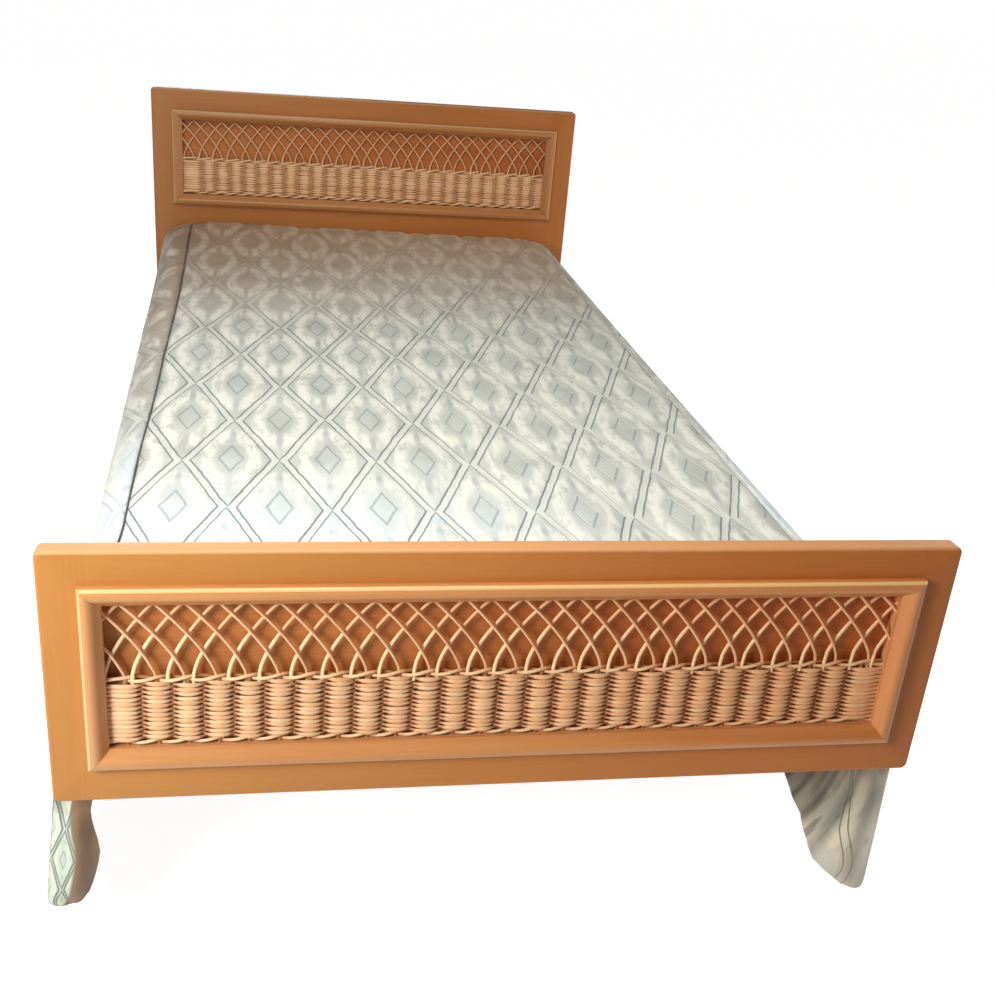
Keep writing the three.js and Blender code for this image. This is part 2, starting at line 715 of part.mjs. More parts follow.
// The top panel runs up from its tuck at the foot, over the mattress and down at the head
function spreadTopBody() {
  const { edgeRadius, length } = mattress;
  const { acrossSteps, topSteps, edgeSteps } = clothCounts;
  const radius = edgeRadius + clothLift;
  const half = length / 2 - edgeRadius;
  const reach = seamRadius - pipeHalf;
  const endHalfWidth = cornerX - pipeHalf;
  const section = [[-half - radius, -radius - spread.footTuck, endHalfWidth]];
  const overEdge = (sign, k) => {
    const angle = (k / edgeSteps) * (Math.PI / 2);
    const out = half + radius * Math.cos(angle);
    return [sign * out, radius * (Math.sin(angle) - 1), endHalfWidth];
  };
  for (let k = 0; k <= edgeSteps; k++) section.push(overEdge(-1, k));
  for (const [y, angle] of sideStations(topSteps)) {
    const halfWidth = cornerX + reach * Math.cos(angle);
    section.push([y + reach * Math.sin(angle), 0, halfWidth]);
  }
  for (let k = edgeSteps; k >= 0; k--) section.push(overEdge(1, k));
  section.push([half + radius, -radius - spread.headTuck, endHalfWidth]);
  const at = (i, j) => {
    const [y, fall, halfWidth] = section[j];
    const x = 2 * (i / acrossSteps - 0.5) * halfWidth;
    return new THREE.Vector3(x, y, topAt(x, y) + fall);
  };
  return sheetBody(acrossSteps, section.length - 1, at, spread.thickness);
}

// Straight lines between values at unequally spaced places, from high to low
function between(places, values, place) {
  if (place >= places[0]) return values[0];
  for (let i = 1; i < places.length; i++) {
    if (place >= places[i]) {
      const t = (places[i - 1] - place) / (places[i - 1] - places[i]);
      return values[i - 1] + (values[i] - values[i - 1]) * t;
    }
  }
  return values.at(-1);
}

// A side drop: from the seam over the mattress edge, out past the rail and down to the hem, with
// soft upright folds. Below the rail its foot end turns in behind the footboard as a loose flap.
function dropBody(sign, corner) {
  const radius = mattress.edgeRadius + clothLift;
  const outside = railOuter + drop.railGap + spread.thickness / 2;
  const lowEnd = innerLength / 2 - spread.endGap;
  const clear = railTop + drop.railGap;
  const stations = sideStations(clothCounts.sideSteps);
  const { edgeSteps, flapSteps } = clothCounts;
  const slopeRow = edgeSteps + 1;
  const clearRow = slopeRow + 1;
  const heightsOf = (hem) => [
    flap.top + flap.rampHeight,
    ...flapHeightShares.map((share) => hem + share * (flap.top - hem)),
  ];
  const flapHeights = heightsOf(corner.hem).slice(1);

  const at = (i, j) => {
    const onFlap = i < flapSteps;
    const order = onFlap ? 0 : i - flapSteps;
    const [alongY, angle] = stations[order];
    const turn = Math.sin(angle);
    const seamX = cornerX + seamRadius * Math.cos(angle);
    const top = topAt(seamX, alongY + seamRadius * turn);
    const shoulder = top - radius;
    const lowY = alongY + turn * (lowEnd - cornerY);
    const upper = (out, z) => [
      cornerX + (seamRadius + out) * Math.cos(angle),
      alongY + (seamRadius + out) * turn,
      z,
    ];
    let [x, y, z] = upper(pipeHalf, top);
    if (j > 0 && j <= edgeSteps) {
      const bend = (j / edgeSteps) * (Math.PI / 2);
      [x, y, z] = upper(radius * Math.sin(bend), shoulder + radius * Math.cos(bend));
    } else if (j === slopeRow) {
      const [sideX, sideY] = upper(radius, shoulder);
      x = sideX + (outside - sideX) * railSlopeShares.across;
      y = sideY + (lowY - sideY) * railSlopeShares.across;
      z = shoulder + (clear - shoulder) * railSlopeShares.down;
    } else if (j >= clearRow) {
      const hem = order ? drop.hem : corner.hem;
      z = j === clearRow ? clear : heightsOf(hem)[j - clearRow - 1];
      x = outside + (corner.flare * (clear - z)) / (clear - hem);
      y = lowY;
    }
    const depth = Math.min(Math.max((drop.foldTop - z) / drop.foldTop, 0), 1);
    const wave = 0.5 - 0.5 * Math.cos((2 * Math.PI * (y + lowEnd)) / drop.foldPitch);
    x += drop.fold * depth * wave;
    const below = Math.min(Math.max((flap.top + flap.rampHeight - z) / flap.rampHeight, 0), 1);
    if (order) return new THREE.Vector3(sign * x, y, z);

    const width =
      flap.leastWidth + below * (between(flapHeights, corner.widths, z) - flap.leastWidth);
    const run = onFlap ? width * (1 - i / flapSteps) : 0;
    const bendRadius = below * flap.turnRadius;
    const quarter = (bendRadius * Math.PI) / 2;
    const bend = quarter ? Math.min(run / quarter, 1) * (Math.PI / 2) : 0;
    const inwards = bendRadius * (1 - Math.cos(bend)) + Math.max(run - quarter, 0);
    const fromEnd = bendRadius * (1 - Math.sin(bend));
    return new THREE.Vector3(sign * (x - inwards), y + fromEnd, z);
  };
  const columns = flapSteps + stations.length - 1;
  const rows = clearRow + heightsOf(corner.hem).length;
  return sheetBody(columns, rows, at, spread.thickness);
}

// The piping on each seam, a round cord that follows the edge of the top panel
function pipingBody(sign) {
  const path = sideStations(clothCounts.sideSteps).map(([alongY, angle]) => {
    const x = cornerX + seamRadius * Math.cos(angle);
    const y = alongY + seamRadius * Math.sin(angle);
    return new THREE.Vector3(sign * x, y, topAt(x, y) - clothLift + pipeHalf);
  });
  return cordGeometry(path, new THREE.Vector3(0, 0, 1), piping.diameter / 2, piping.sides);
}

function addBedding() {
  const bedding = new THREE.Group();
  bedding.position.set(0, middleY, 0);
  bed.add(bedding);
  place(bedding, "mattress", mattressBody(), ticking, 0, 0, mattressBottom);
  place(bedding, "bedspread_top", spreadTopBody(), satin);
  place(bedding, "bedspread_left_drop", dropBody(-1, leftCorner), satin);
  place(bedding, "bedspread_right_drop", dropBody(1, rightCorner), satin);
  place(bedding, "left_piping", pipingBody(-1), darkPiping);
  place(bedding, "right_piping", pipingBody(1), palePiping);
}

addBoard("foot", footBoard, footFace, footBoard.top);
addBoard("head", headBoard, headFace, headTop);
addBase();
addBedding();

export default bed;
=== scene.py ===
# A rattan bed: two wooden boards with woven cane panels, a slatted base and quilted bedding.
# Lengths are in millimetres until a mesh is made: x across, y from foot to head, z up.
import math

import bmesh
import bpy
import numpy as np
from mathutils import Matrix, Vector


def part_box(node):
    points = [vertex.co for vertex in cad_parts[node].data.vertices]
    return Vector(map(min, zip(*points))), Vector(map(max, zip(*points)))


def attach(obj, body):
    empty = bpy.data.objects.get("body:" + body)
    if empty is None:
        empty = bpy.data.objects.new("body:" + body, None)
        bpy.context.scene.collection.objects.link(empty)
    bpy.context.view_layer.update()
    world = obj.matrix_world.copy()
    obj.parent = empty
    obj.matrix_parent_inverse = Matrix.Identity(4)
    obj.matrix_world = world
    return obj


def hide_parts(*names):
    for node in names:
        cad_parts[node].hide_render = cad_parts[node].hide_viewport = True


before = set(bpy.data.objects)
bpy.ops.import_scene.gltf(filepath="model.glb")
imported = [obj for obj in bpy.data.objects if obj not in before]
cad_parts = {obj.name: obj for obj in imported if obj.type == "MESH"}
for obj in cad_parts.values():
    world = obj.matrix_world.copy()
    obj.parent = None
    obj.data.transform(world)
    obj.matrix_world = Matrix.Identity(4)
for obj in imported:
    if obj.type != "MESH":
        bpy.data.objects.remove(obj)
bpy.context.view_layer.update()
random = np.random.default_rng(11)


# Shader helpers

# A socket whose operators add Math nodes, so that masks are written as sums and products
class Value:
    def __init__(self, finish, socket):
        self.finish, self.socket = finish, socket

    def math(self, operation, *others):
        return self.finish.add("Math", {"operation": operation}, [self, *others])

    def __add__(self, other): return self.math("ADD", other)
    def __sub__(self, other): return self.math("SUBTRACT", other)
    def __mul__(self, other): return self.math("MULTIPLY", other)
    def __truediv__(self, other): return self.math("DIVIDE", other)
    def __mod__(self, other): return self.math("FLOORED_MODULO", other)
    def __gt__(self, other): return self.math("GREATER_THAN", other)
    def __lt__(self, other): return self.math("LESS_THAN", other)
    def __abs__(self): return self.math("ABSOLUTE")
    def __rsub__(self, other): return self.finish.add("Math", {"operation": "SUBTRACT"}, [other, self])
    __radd__ = __add__
    __rmul__ = __mul__

    def clipped(self):
        return self.math("MINIMUM", 1).math("MAXIMUM", 0)


# sRGB 0 to 255 as linear colour: c/12.92 below 0.04, else ((c + 0.055)/1.055)^2.4
def paint(red, green, blue):
    c = np.array([red, green, blue]) / 255
    return (*np.where(c <= 0.04045, c / 12.92, ((c + 0.055) / 1.055) ** 2.4), 1.0)


# The nodes of a material or of the world, from an empty tree with its output
class Nodes:
    def __init__(self, owner, output):
        owner.use_nodes = True
        self.tree = owner.node_tree
        self.tree.nodes.clear()
        self.surface = self.tree.nodes.new("ShaderNode" + output).inputs["Surface"]

    def feed(self, socket, value):
        if isinstance(value, Value):
            self.tree.links.new(value.socket, socket)
        else:
            socket.default_value = value

    # A node of one kind: its settings are made first, then its sockets get values or links
    def add(self, kind, settings=None, inputs=(), out=0):
        node = self.tree.nodes.new("ShaderNode" + kind)
        for key, value in (settings or {}).items():
            setattr(node, key, value)
        for socket, value in inputs.items() if isinstance(inputs, dict) else enumerate(inputs):
            self.feed(node.inputs[socket], value)
        return Value(self, node.outputs[out])


class Finish(Nodes):
    def __init__(self, name, **constants):
        self.material = bpy.data.materials.new(name)
        super().__init__(self.material, "OutputMaterial")
        self.shader = self.add("BsdfPrincipled")
        self.feed(self.surface, self.shader)
        self.set(**constants)

    def set(self, **inputs):
        for socket, value in inputs.items():
            self.feed(self.shader.socket.node.inputs[socket.replace("_", " ")], value)

    def place(self, kind="Object"):
        return self.add("TexCoord", out=kind)

    def mark(self, word):
        return self.add("Attribute", {"attribute_name": word}, out="Fac")

    def axes(self, vector):
        node = self.add("SeparateXYZ", inputs=[vector]).socket.node
        return [Value(self, socket) for socket in node.outputs]

    def join(self, x, y, z=0.0):
        return self.add("CombineXYZ", inputs=[x, y, z])

    # Smooth noise with its own number of waves per metre on each axis
    def noise(self, vector, perMetre, detail=2.0, rough=0.5):
        scaled = self.add("Mapping", inputs={"Vector": vector, "Scale": perMetre})
        return self.add("TexNoise", {"noise_dimensions": "3D"},
                        {"Vector": scaled, "Scale": 1.0, "Detail": detail, "Roughness": rough})

    def mix(self, share, first, second, way="MIX"):
        return self.add("Mix", {"data_type": "RGBA", "blend_type": way},
                        {0: share, 6: first, 7: second}, out=2)

    def shade(self, color, gain):
        return self.mix(1.0, color, self.join(gain, gain, gain), "MULTIPLY")

    # A smooth step from 0 at low to 1 at high
    def step(self, value, low, high):
        return self.add("MapRange", {"interpolation_type": "SMOOTHSTEP"},
                        {"Value": value, "From Min": low, "From Max": high})

    def bump(self, height, distance, strength=0.5):
        self.set(Normal=self.add("Bump", inputs={
            "Height": height, "Distance": distance, "Strength": strength}))


# Mesh helpers

# Points from their three coordinates, each spread over the shape that they share
def pointsAt(x, y, z):
    return np.stack(np.broadcast_arrays(x, y, z), -1)


# Quads between neighbours in a table of point numbers
def quadsOf(ids):
    corners = [ids[:-1, :-1], ids[:-1, 1:], ids[1:, 1:], ids[1:, :-1]]
    return np.stack(corners, -1).reshape(-1, 4)


# Quads of a grid of points with rows and columns, joined round where it wraps
def gridQuads(rows, columns, wrapRows=False, wrapColumns=False):
    ids = np.arange(rows * columns).reshape(rows, columns)
    return quadsOf(np.pad(ids, ((0, wrapRows), (0, wrapColumns)), mode="wrap"))


# Faces of rings one after another, closed by the first ring turned over and by the last one
def ringFaces(rings, count):
    caps = np.array([np.arange(count)[::-1], np.arange(count) + count * (rings - 1)])
    return [gridQuads(rings, count, wrapColumns=True), caps]


# A smooth step: 3t^2 - 2t^3 of the clipped share
def eased(share):
    t = np.clip(share, 0, 1)
    return t * t * (3 - 2 * t)


# Several bodies as one: face numbers move on by the points before them. A body is its points
# and faces, and may have a UV place and marks for each point.
def joined(bodies):
    points, faces, *others = zip(*bodies)
    groups = {}
    for bodyFaces, start in zip(faces, np.cumsum([0, *map(len, points)])):
        for group in bodyFaces:
            groups.setdefault(group.shape[1], []).append(group + start)
    return np.vstack(points), [np.vstack(same) for same in groups.values()], *map(np.vstack, others)


# An object in the scene, for a mesh, a lamp or the camera
def linked(name, data):
    made = bpy.data.objects.new(name, data)
    bpy.context.scene.collection.objects.link(made)
    return made


# A mesh object in metres from a body in millimetres; marks are named numbers for its finish
def newPiece(name, body, finish, replaced=(), sharp=40, thickness=0):
    points, faces, uv, marks = (*body, None, None)[:4]
    mesh = bpy.data.meshes.new(name)
    corners = np.concatenate([group.ravel() for group in faces]).astype(np.int32)
    sizes = np.concatenate([np.full(len(group), group.shape[1]) for group in faces])
    starts = np.concatenate([[0], np.cumsum(sizes)[:-1]]).astype(np.int32)
    mesh.vertices.add(len(points))
    mesh.vertices.foreach_set("co", (points * 0.001).astype(np.float32).ravel())
    mesh.loops.add(len(corners))
    mesh.loops.foreach_set("vertex_index", corners)
    mesh.polygons.add(len(sizes))
    mesh.polygons.foreach_set("loop_start", starts)
    mesh.update(calc_edges=True)
    if uv is not None:
        layer = mesh.uv_layers.new(name="UVMap")
        layer.data.foreach_set("uv", uv[corners].astype(np.float32).ravel())
    for word, numbers in (marks or {}).items():
        values = mesh.attributes.new(word, "FLOAT", "POINT")
        values.data.foreach_set("value", np.asarray(numbers, np.float32).ravel())
    outwards = bmesh.new()
    outwards.from_mesh(mesh)
    bmesh.ops.recalc_face_normals(outwards, faces=outwards.faces)
    outwards.to_mesh(mesh)
    outwards.free()
    mesh.shade_smooth()
    mesh.set_sharp_from_angle(angle=math.radians(sharp))
    mesh.materials.append(finish.material)
    piece = linked(name, mesh)
    if thickness:
        wall = piece.modifiers.new("Thickness", "SOLIDIFY")
        wall.thickness, wall.offset = thickness * 0.001, 0
    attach(piece, "root")
    if replaced:
        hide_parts(*replaced)
    return piece


# Lowest and highest corners of CAD nodes taken together, in millimetres
def spanOf(*names):
    boxes = np.array([[list(corner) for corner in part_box(name)] for name in names]) * 1000
    return boxes[:, 0].min(0), boxes[:, 1].max(0)


# A rounded rectangle standing at depth y: each corner's centre plus radius times (cos, sin)
def standingLoop(low, high, radius, y, steps=8):
    angle = (np.linspace(0, np.pi / 2, steps + 1) + np.arange(4)[:, None] * np.pi / 2).ravel()
    atRight, atTop = (np.repeat(row, steps + 1) for row in ([1, 0, 0, 1], [1, 1, 0, 0]))
    x = np.where(atRight, high[0] - radius, low[0] + radius) + radius * np.cos(angle)
    z = np.where(atTop, high[1] - radius, low[1] + radius) + radius * np.sin(angle)
    return pointsAt(x, y, z)


# Round canes along paths of shape (canes, samples, 3): a point plus half the width times cos
# sideways plus half the depth times sin towards the viewer. Both ends are closed. Marks are the
# cane's own tone and how much light reaches each place.
def caneTubes(paths, halfWidth, halfDepth, sides=8, light=0.7):
    canes, samples = paths.shape[:2]
    along = np.gradient(paths, axis=1)
    along /= np.linalg.norm(along, axis=2, keepdims=True)
    side = np.cross(along, [0.0, -1.0, 0.0])
    side /= np.linalg.norm(side, axis=2, keepdims=True)
    up = np.cross(side, along)
    angle = (2 * np.pi * np.arange(sides) / sides)[:, None]
    halfWidth, halfDepth = (np.broadcast_to(v, (canes, samples)) for v in (halfWidth, halfDepth))
    ring = (paths[:, :, None] + halfWidth[:, :, None, None] * np.cos(angle) * side[:, :, None]
            + halfDepth[:, :, None, None] * np.sin(angle) * up[:, :, None])
    starts = np.arange(canes)[:, None, None] * samples * sides
    quads, caps = ringFaces(samples, sides)
    faces = [(quads + starts).reshape(-1, 4), (caps[:, None] + starts[:, 0]).reshape(-1, sides)]
    length = np.cumsum(np.linalg.norm(np.diff(paths, axis=1, prepend=paths[:, :1]), axis=2), 1)
    across = np.broadcast_to(np.arange(sides) / sides * 0.01, (canes, samples, sides))
    uv = np.stack([np.repeat(length[:, :, None] * 0.001, sides, 2), across], -1)
    tone = np.repeat(random.random(canes), samples * sides)
    lit = np.repeat(np.broadcast_to(light, (canes, samples)).ravel(), sides)
    return ring.reshape(-1, 3), faces, uv.reshape(-1, 2), np.stack([tone, lit], 1)


# A profile of (radius, height) turned about an upright axis
def turnedBody(shape, centre):
    angle = 2 * np.pi * np.arange(shape["sides"]) / shape["sides"]
    radius, height = np.array(shape["profile"], float).T[..., None]
    points = pointsAt(centre[0] + radius * np.cos(angle), centre[1] + radius * np.sin(angle),
                      centre[2] + height)
    return points.reshape(-1, 3), ringFaces(len(radius), len(angle))


# Finishes
woodTones = {
    "board": (paint(203, 131, 62), paint(193, 120, 53)),
    "moulding": (paint(217, 149, 90), paint(207, 136, 78)),
    "panel": (paint(198, 122, 64), paint(174, 99, 46)),
    "pine": (paint(222, 188, 138), paint(203, 163, 110)),
    "headboard": (paint(189, 121, 62), paint(178, 109, 52)),
    "wearAndHighlight": paint(240, 196, 150), "bevelHighlight": paint(252, 216, 150),
}
# A painted cast of light over the bed, how much less of it there is at the head, and how much darker
# the moulding and canes get at the head
paintedCastAndHeadDark = {"left": (1.0, 1.13, 1.2, 1), "right": (1.06, 0.86, 0.66, 1), "over": (-0.5, 0.5),
         "lessAtHead": 0.65, "darkMoulding": 0.22, "darkCane": 0.08}
# Noise waves per metre along the grain, across it and into it, and each noise's share of the tone
grain = {"broad": (1.3, 20, 14), "fine": (9, 420, 300), "cloud": (2.2, 4.5, 4),
         "pores": (30, 900, 700), "shares": (0.5, 0.22, 0.28), "topHighlight": 0.35, "poreTone": 0.07}


# A painted cast of light, multiplied in: paler and yellower at the left, where the light falls, and
# redder and darker at the right, as painted shade; less so at the head
def paintedLightCast(f, color, axes, most=1.0):
    cast = f.mix(f.step(axes[0], *paintedCastAndHeadDark["over"]), paintedCastAndHeadDark["left"], paintedCastAndHeadDark["right"])
    share = most - f.step(axes[1], *paintedCastAndHeadDark["over"]) * paintedCastAndHeadDark["lessAtHead"] * most
    return f.mix(share, color, cast, "MULTIPLY")


# Darker towards the head by the given share
def headDark(f, color, axes, share):
    return f.shade(color, 1 - f.step(axes[1], *paintedCastAndHeadDark["over"]) * share)


# Lacquered wood. The grain is noise drawn out along one axis, with fine dark pores on it.
# Along and across are each an axis letter, or a function of the three axes.
def woodFinish(name, tones, along, across, roughness=0.4, coat=0.12, paleAbove=None, paintsCast=False):
    f = Finish(name, Coat_Weight=coat, Coat_Roughness=0.25, Specular_IOR_Level=0.3)
    axes = dict(zip("xyz", f.axes(f.place())))
    direction, side = (axes[way] if isinstance(way, str) else way(**axes) for way in (along, across))
    place = f.join(direction, side, axes["z"] if along == "y" else axes["y"])
    broad, fine, cloud = (f.noise(place, grain[word], detail)
                          for word, detail in (("broad", 3), ("fine", 2), ("cloud", 2)))
    ofBroad, ofFine, ofCloud = grain["shares"]
    color = f.mix(f.step(broad * ofBroad + fine * ofFine + cloud * ofCloud, 0.34, 0.68), *tones)
    # A painted cast of light: paler at the left, redder and darker at the right
    if paintsCast:
        color = paintedLightCast(f, color, list(axes.values()))
    # A painted highlight: the colour turns paler along the board's top edge
    if paleAbove:
        wearAndHighlight = f.step(axes["z"] + cloud * 0.0008, paleAbove, paleAbove + 0.002)
        color = f.mix(wearAndHighlight * grain["topHighlight"], color, woodTones["wearAndHighlight"])
    pores = f.step(f.noise(place, grain["pores"], 1), 0.66, 0.8)
    f.set(Base_Color=f.shade(color, 1 - pores * grain["poreTone"]), Roughness=roughness + fine * 0.12)
    f.bump(fine - pores * 0.5, 0.00012)
    return f


# The end boards: grain runs up the stiles and along the rails, from a joint at |x|
def boardFinish(name, tones, joint, edgeZ):
    def along(x, y, z):
        return x + (z - x) * (abs(x) > joint)

    def across(x, y, z):
        return z + (x - z) * (abs(x) > joint)

    return woodFinish(name, tones, along, across, paleAbove=edgeZ, paintsCast=True)


mouldingShape = {
    "steps": 5, "mitreGap": 0.15, "lip": [(22, -2.5), (12, -2.5), (12, 0.3)],
    # each length's UV lies this far from the one before, in metres along and across
    "apartAlong": 3, "apartAcross": 0.3,
    # where the bevel's painted highlight starts and ends across the section, and the lengths that get
    # more of it
    "bevel": (0.0076, 0.009, 0.012, 0.0136), "firstBelow": 0.29, "lastAbove": 0.89,
}
# The moulding's section as (inwards, proud of the board): an upright outer side, a narrow
# rounded bevel that catches the light, a crowned face and a long slope down to the window
mouldingCurves = [
    ((0, 0.3), (0, 4), (0, 8.0)),
    ((0, 8.0), (0.5, 10.7), (3.3, 11.8)),
    ((3.3, 11.8), (4.2, 11.9), (5, 12.4)),
    ((5, 12.4), (8.2, 14.0), (11.6, 12.1)),
    ((11.6, 12.1), (13.4, 11.1), (15, 9.2)),
    ((15, 9.2), (18.6, 4.8), (22, 1.6)),
]


# The moulding's grain runs along its UV. The bevel gets a painted highlight, most on the top and left
# lengths, which face the light.
def mouldingWood():
    m = mouldingShape
    f = Finish("moulding wood", Coat_Weight=0.2, Coat_Roughness=0.18, Specular_IOR_Level=0.35)
    length, across, _ = f.axes(f.place("UV"))
    place, axes = f.join(length, across), f.axes(f.place())
    broad, pores = f.noise(place, (3, 60, 1), 3), f.noise(place, (14, 900, 1), 2)
    onSection = across % m["apartAcross"]
    # A painted highlight on the bevel, stronger on the top and left lengths
    bevelHighlight = f.step(onSection, *m["bevel"][:2]) * (1 - f.step(onSection, *m["bevel"][2:]))
    litLengths = (across < m["firstBelow"]) + (across > m["lastAbove"])
    color = f.mix(f.step(broad * 0.7 + pores * 0.3, 0.36, 0.66), *woodTones["moulding"])
    color = paintedLightCast(f, color, axes, 0.6)
    color = f.mix(bevelHighlight * (0.15 + litLengths * 0.5), color, woodTones["bevelHighlight"])
    f.set(Base_Color=headDark(f, color, axes, paintedCastAndHeadDark["darkMoulding"]),
          Roughness=0.32 + pores * 0.12 - bevelHighlight * 0.08)
    f.bump(pores, 0.0001, 0.4)
    return f


# Peeled cane: each strand has its own tone, with patches along it and fine fibres. By its light
# mark it gets painted shade, brown, in the deep weave and a painted highlight where a cane is lit.
caneTones = {"pale": paint(252, 204, 156), "warm": paint(238, 178, 127), "paintedShadeBrown": paint(186, 124, 80),
             "forward": paint(255, 226, 176), "strand": 0.3, "patches": 0.5, "fibres": 0.2}


def peeledCane():
    f, c = Finish("rattan", Coat_Weight=0.08, Coat_Roughness=0.3, Specular_IOR_Level=0.35), caneTones
    tone, light, axes = f.mark("tone"), f.mark("light"), f.axes(f.place())
    length, around, _ = f.axes(f.place("UV"))
    place = f.join(length, around, tone * 7)
    patches, fibres = f.noise(place, (22, 60, 1), 2), f.noise(place, (60, 2600, 1), 2)
    share = f.step(tone * c["strand"] + patches * c["patches"] + fibres * c["fibres"], 0.25, 0.75)
    # Painted shade where the light mark is low and a painted highlight where it is high
    color = f.mix(f.step(light, 0.6, 0.05), f.mix(share, c["pale"], c["warm"]), c["paintedShadeBrown"])
    color = f.mix(f.step(light, 0.75, 1.0) * 0.8, color, c["forward"])
    color = headDark(f, paintedLightCast(f, color, axes, 0.5), axes, paintedCastAndHeadDark["darkCane"])
    f.set(Base_Color=color, Roughness=0.36 + fibres * 0.18)
    f.bump(fibres, 0.00015)
    return f


mouldingFinish, caneFinish = mouldingWood(), peeledCane()
panelFinish = woodFinish("back plywood", woodTones["panel"], "x", "z", 0.5, 0.05, paintsCast=True)
pineAlongX = woodFinish("pine across", woodTones["pine"], "x", "y", 0.5, 0.05)
pineAlongY = woodFinish("pine lengthwise", woodTones["pine"], "y", "x", 0.5, 0.05)
pineUpright = woodFinish("pine upright", woodTones["pine"], "z", "x", 0.45, 0.1)
railFinish = woodFinish("side rail wood", woodTones["board"], "y", "z")

steelFinish = Finish("zinc plated steel", Metallic=0.9)
spots = steelFinish.noise(steelFinish.place(), (160, 160, 160), 3)
steelFinish.set(Base_Color=steelFinish.mix(spots, paint(176, 178, 180), paint(140, 142, 146)),
                Roughness=0.3 + spots * 0.25)
print("finishes made")


# End boards
boardShape = {
    "cornerRadius": 8, "edgeRadius": 3.5, "edgeSteps": 4, "gap": 0.3, "windowRadius": 0.6,
    "frame": ("left_stile", "right_stile", "top_rail", "bottom_rail"),
    "mouldings": ("moulding_top", "moulding_bottom", "moulding_left", "moulding_right"),
}


# Nested loops from the window's front edge out over the face, round the outer edges and back
def boardBody(prefix, nodes):
    s = boardShape
    low, high = spanOf(*nodes)
    windowLow, windowHigh = spanOf(f"{prefix}_woven_panel")
    backLow, backHigh = spanOf(f"{prefix}_back_panel")
    front, back, edge = low[1], high[1], s["edgeRadius"]

    def loop(a, b, inset, radius, y):
        return standingLoop(a[[0, 2]] + inset, b[[0, 2]] - inset, radius, y)

    def window(y):
        return loop(windowLow, windowHigh, -s["gap"], s["windowRadius"], y)

    def outline(inset, y):
        return loop(low, high, inset, s["cornerRadius"] - inset, y)

    turn = np.linspace(0, np.pi / 2, s["edgeSteps"] + 1)
    loops = [window(front)]
    loops += [outline(edge * (1 - np.sin(a)), front + edge * (1 - np.cos(a))) for a in turn]
    loops += [outline(edge * (1 - np.sin(a)), back - edge * (1 - np.cos(a))) for a in turn[::-1]]
    loops += [loop(backLow, backHigh, -s["gap"], s["windowRadius"], y)
              for y in (back, backLow[1] - s["gap"])]
    loops += [window(backLow[1] - s["gap"])]
    return np.vstack(loops), [gridQuads(len(loops), len(loops[0]), True, True)]


# Points of a chain of curved pieces: (1-t)^2 a + 2t(1-t) b + t^2 c, and the lip's corners
def mouldingSection():
    t = np.linspace(0, 1, mouldingShape["steps"] + 1)[:, None]
    curves = [((1 - t) ** 2 * a + 2 * t * (1 - t) * b + t**2 * c)[:-1]
              for a, b, c in np.array(mouldingCurves, float)]
    return np.vstack([*curves, [mouldingCurves[-1][-1]], mouldingShape["lip"]])


# Four lengths round the window, each cut back by its own inward distance at both mitres
def mouldingBodies(prefix, nodes):
    m = mouldingShape
    low, high = spanOf(*nodes)
    middle, half = (low + high) / 2, (high - low) / 2
    face = spanOf(f"{prefix}_left_stile")[0][1]
    section = mouldingSection()
    inwards, proud = section.T
    around = np.cumsum(np.linalg.norm(np.diff(section, axis=0, prepend=section[:1]), axis=1))
    bodies = []
    for order, (axis, sign) in enumerate([(0, 1), (0, -1), (2, 1), (2, -1)]):
        other = 2 - axis
        points = np.zeros((2, len(section), 3))
        points[:, :, 1] = face - proud
        points[:, :, other] = middle[other] + sign * (half[other] - inwards)
        reach = half[axis] - inwards - m["mitreGap"]
        points[:, :, axis] = middle[axis] + np.stack([-reach, reach])
        along = points[:, :, axis].ravel() * 0.001 + order * m["apartAlong"]
        across = np.tile(around, 2) * 0.001 + order * m["apartAcross"]
        bodies.append((points.reshape(-1, 3), ringFaces(2, len(section)), np.stack([along, across], 1)))
    return joined(bodies)


# Woven panels
weaveShape = {
    "ribs": 27, "pitch": 31.3, "firstRib": {"foot": -410, "head": -397}, "depthInPanel": 5.1,
    "lip": 10, "reach": 437, "perRib": 10, "rows": 26, "firstRow": 17.4, "lastRow": 84.8,
    "swing": 5.4, "lipSwing": 3.5, "openHalf": 427, "openEase": 12, "squareness": 0.75,
    "halfDepth": 1.2, "leastHeight": 1.5, "floatGain": 1.28, "endEase": 0.36,
    # how uneven the rows are: by chance, and the most that a row wavers
    "uneven": 0.05, "swingUneven": 0.02, "mostWaver": 0.5,
    # light on the canes: least and gain, and the share of the swing where it starts and its length
    "light": {"foot": (0.16, 0.6), "head": (0.38, 0.3)}, "litFrom": 0.35, "litOver": 0.6,
    "borders": [13.6, 89.0], "borderSwing": 3.5, "borderRise": 2.2, "borderLate": 0.12,
    "borderRadius": 1.95, "borderDepth": 0.95, "borderLight": (0.15, 0.75), "bandTop": 91,
    "stakeSize": (2.6, 2.2), "stakeFoot": 2, "stakeLight": 0.1,
}
latticeShape = {
    "firstArch": -4, "root": 0.28, "rootDrift": 0.19, "leftLean": 1.68, "rightLean": 2.0,
    "leftBend": 1.5, "rightBend": 1.45, "leanUneven": (0.05, 0.04, 0.05), "apexUneven": 0.8,
    "apexDrop": 3, "apexRound": 0.02, "radius": 1.75, "radiusUneven": 0.04, "leftGain": 0.25,
    "layer": 2.0, "crossing": 0.12, "endFrom": 0.84, "endOver": 0.14, "overrun": 1.12,
    "dense": 301, "fewest": 40, "samples": 34, "crowding": 1.25,
    "light": {"foot": (0.6, 0.5), "head": (0.42, 0.22)},
}
hoopShape = {"inner": 430, "depth": [-5.1, 8.1], "cornerRadius": 0.6, "light": 0.3}


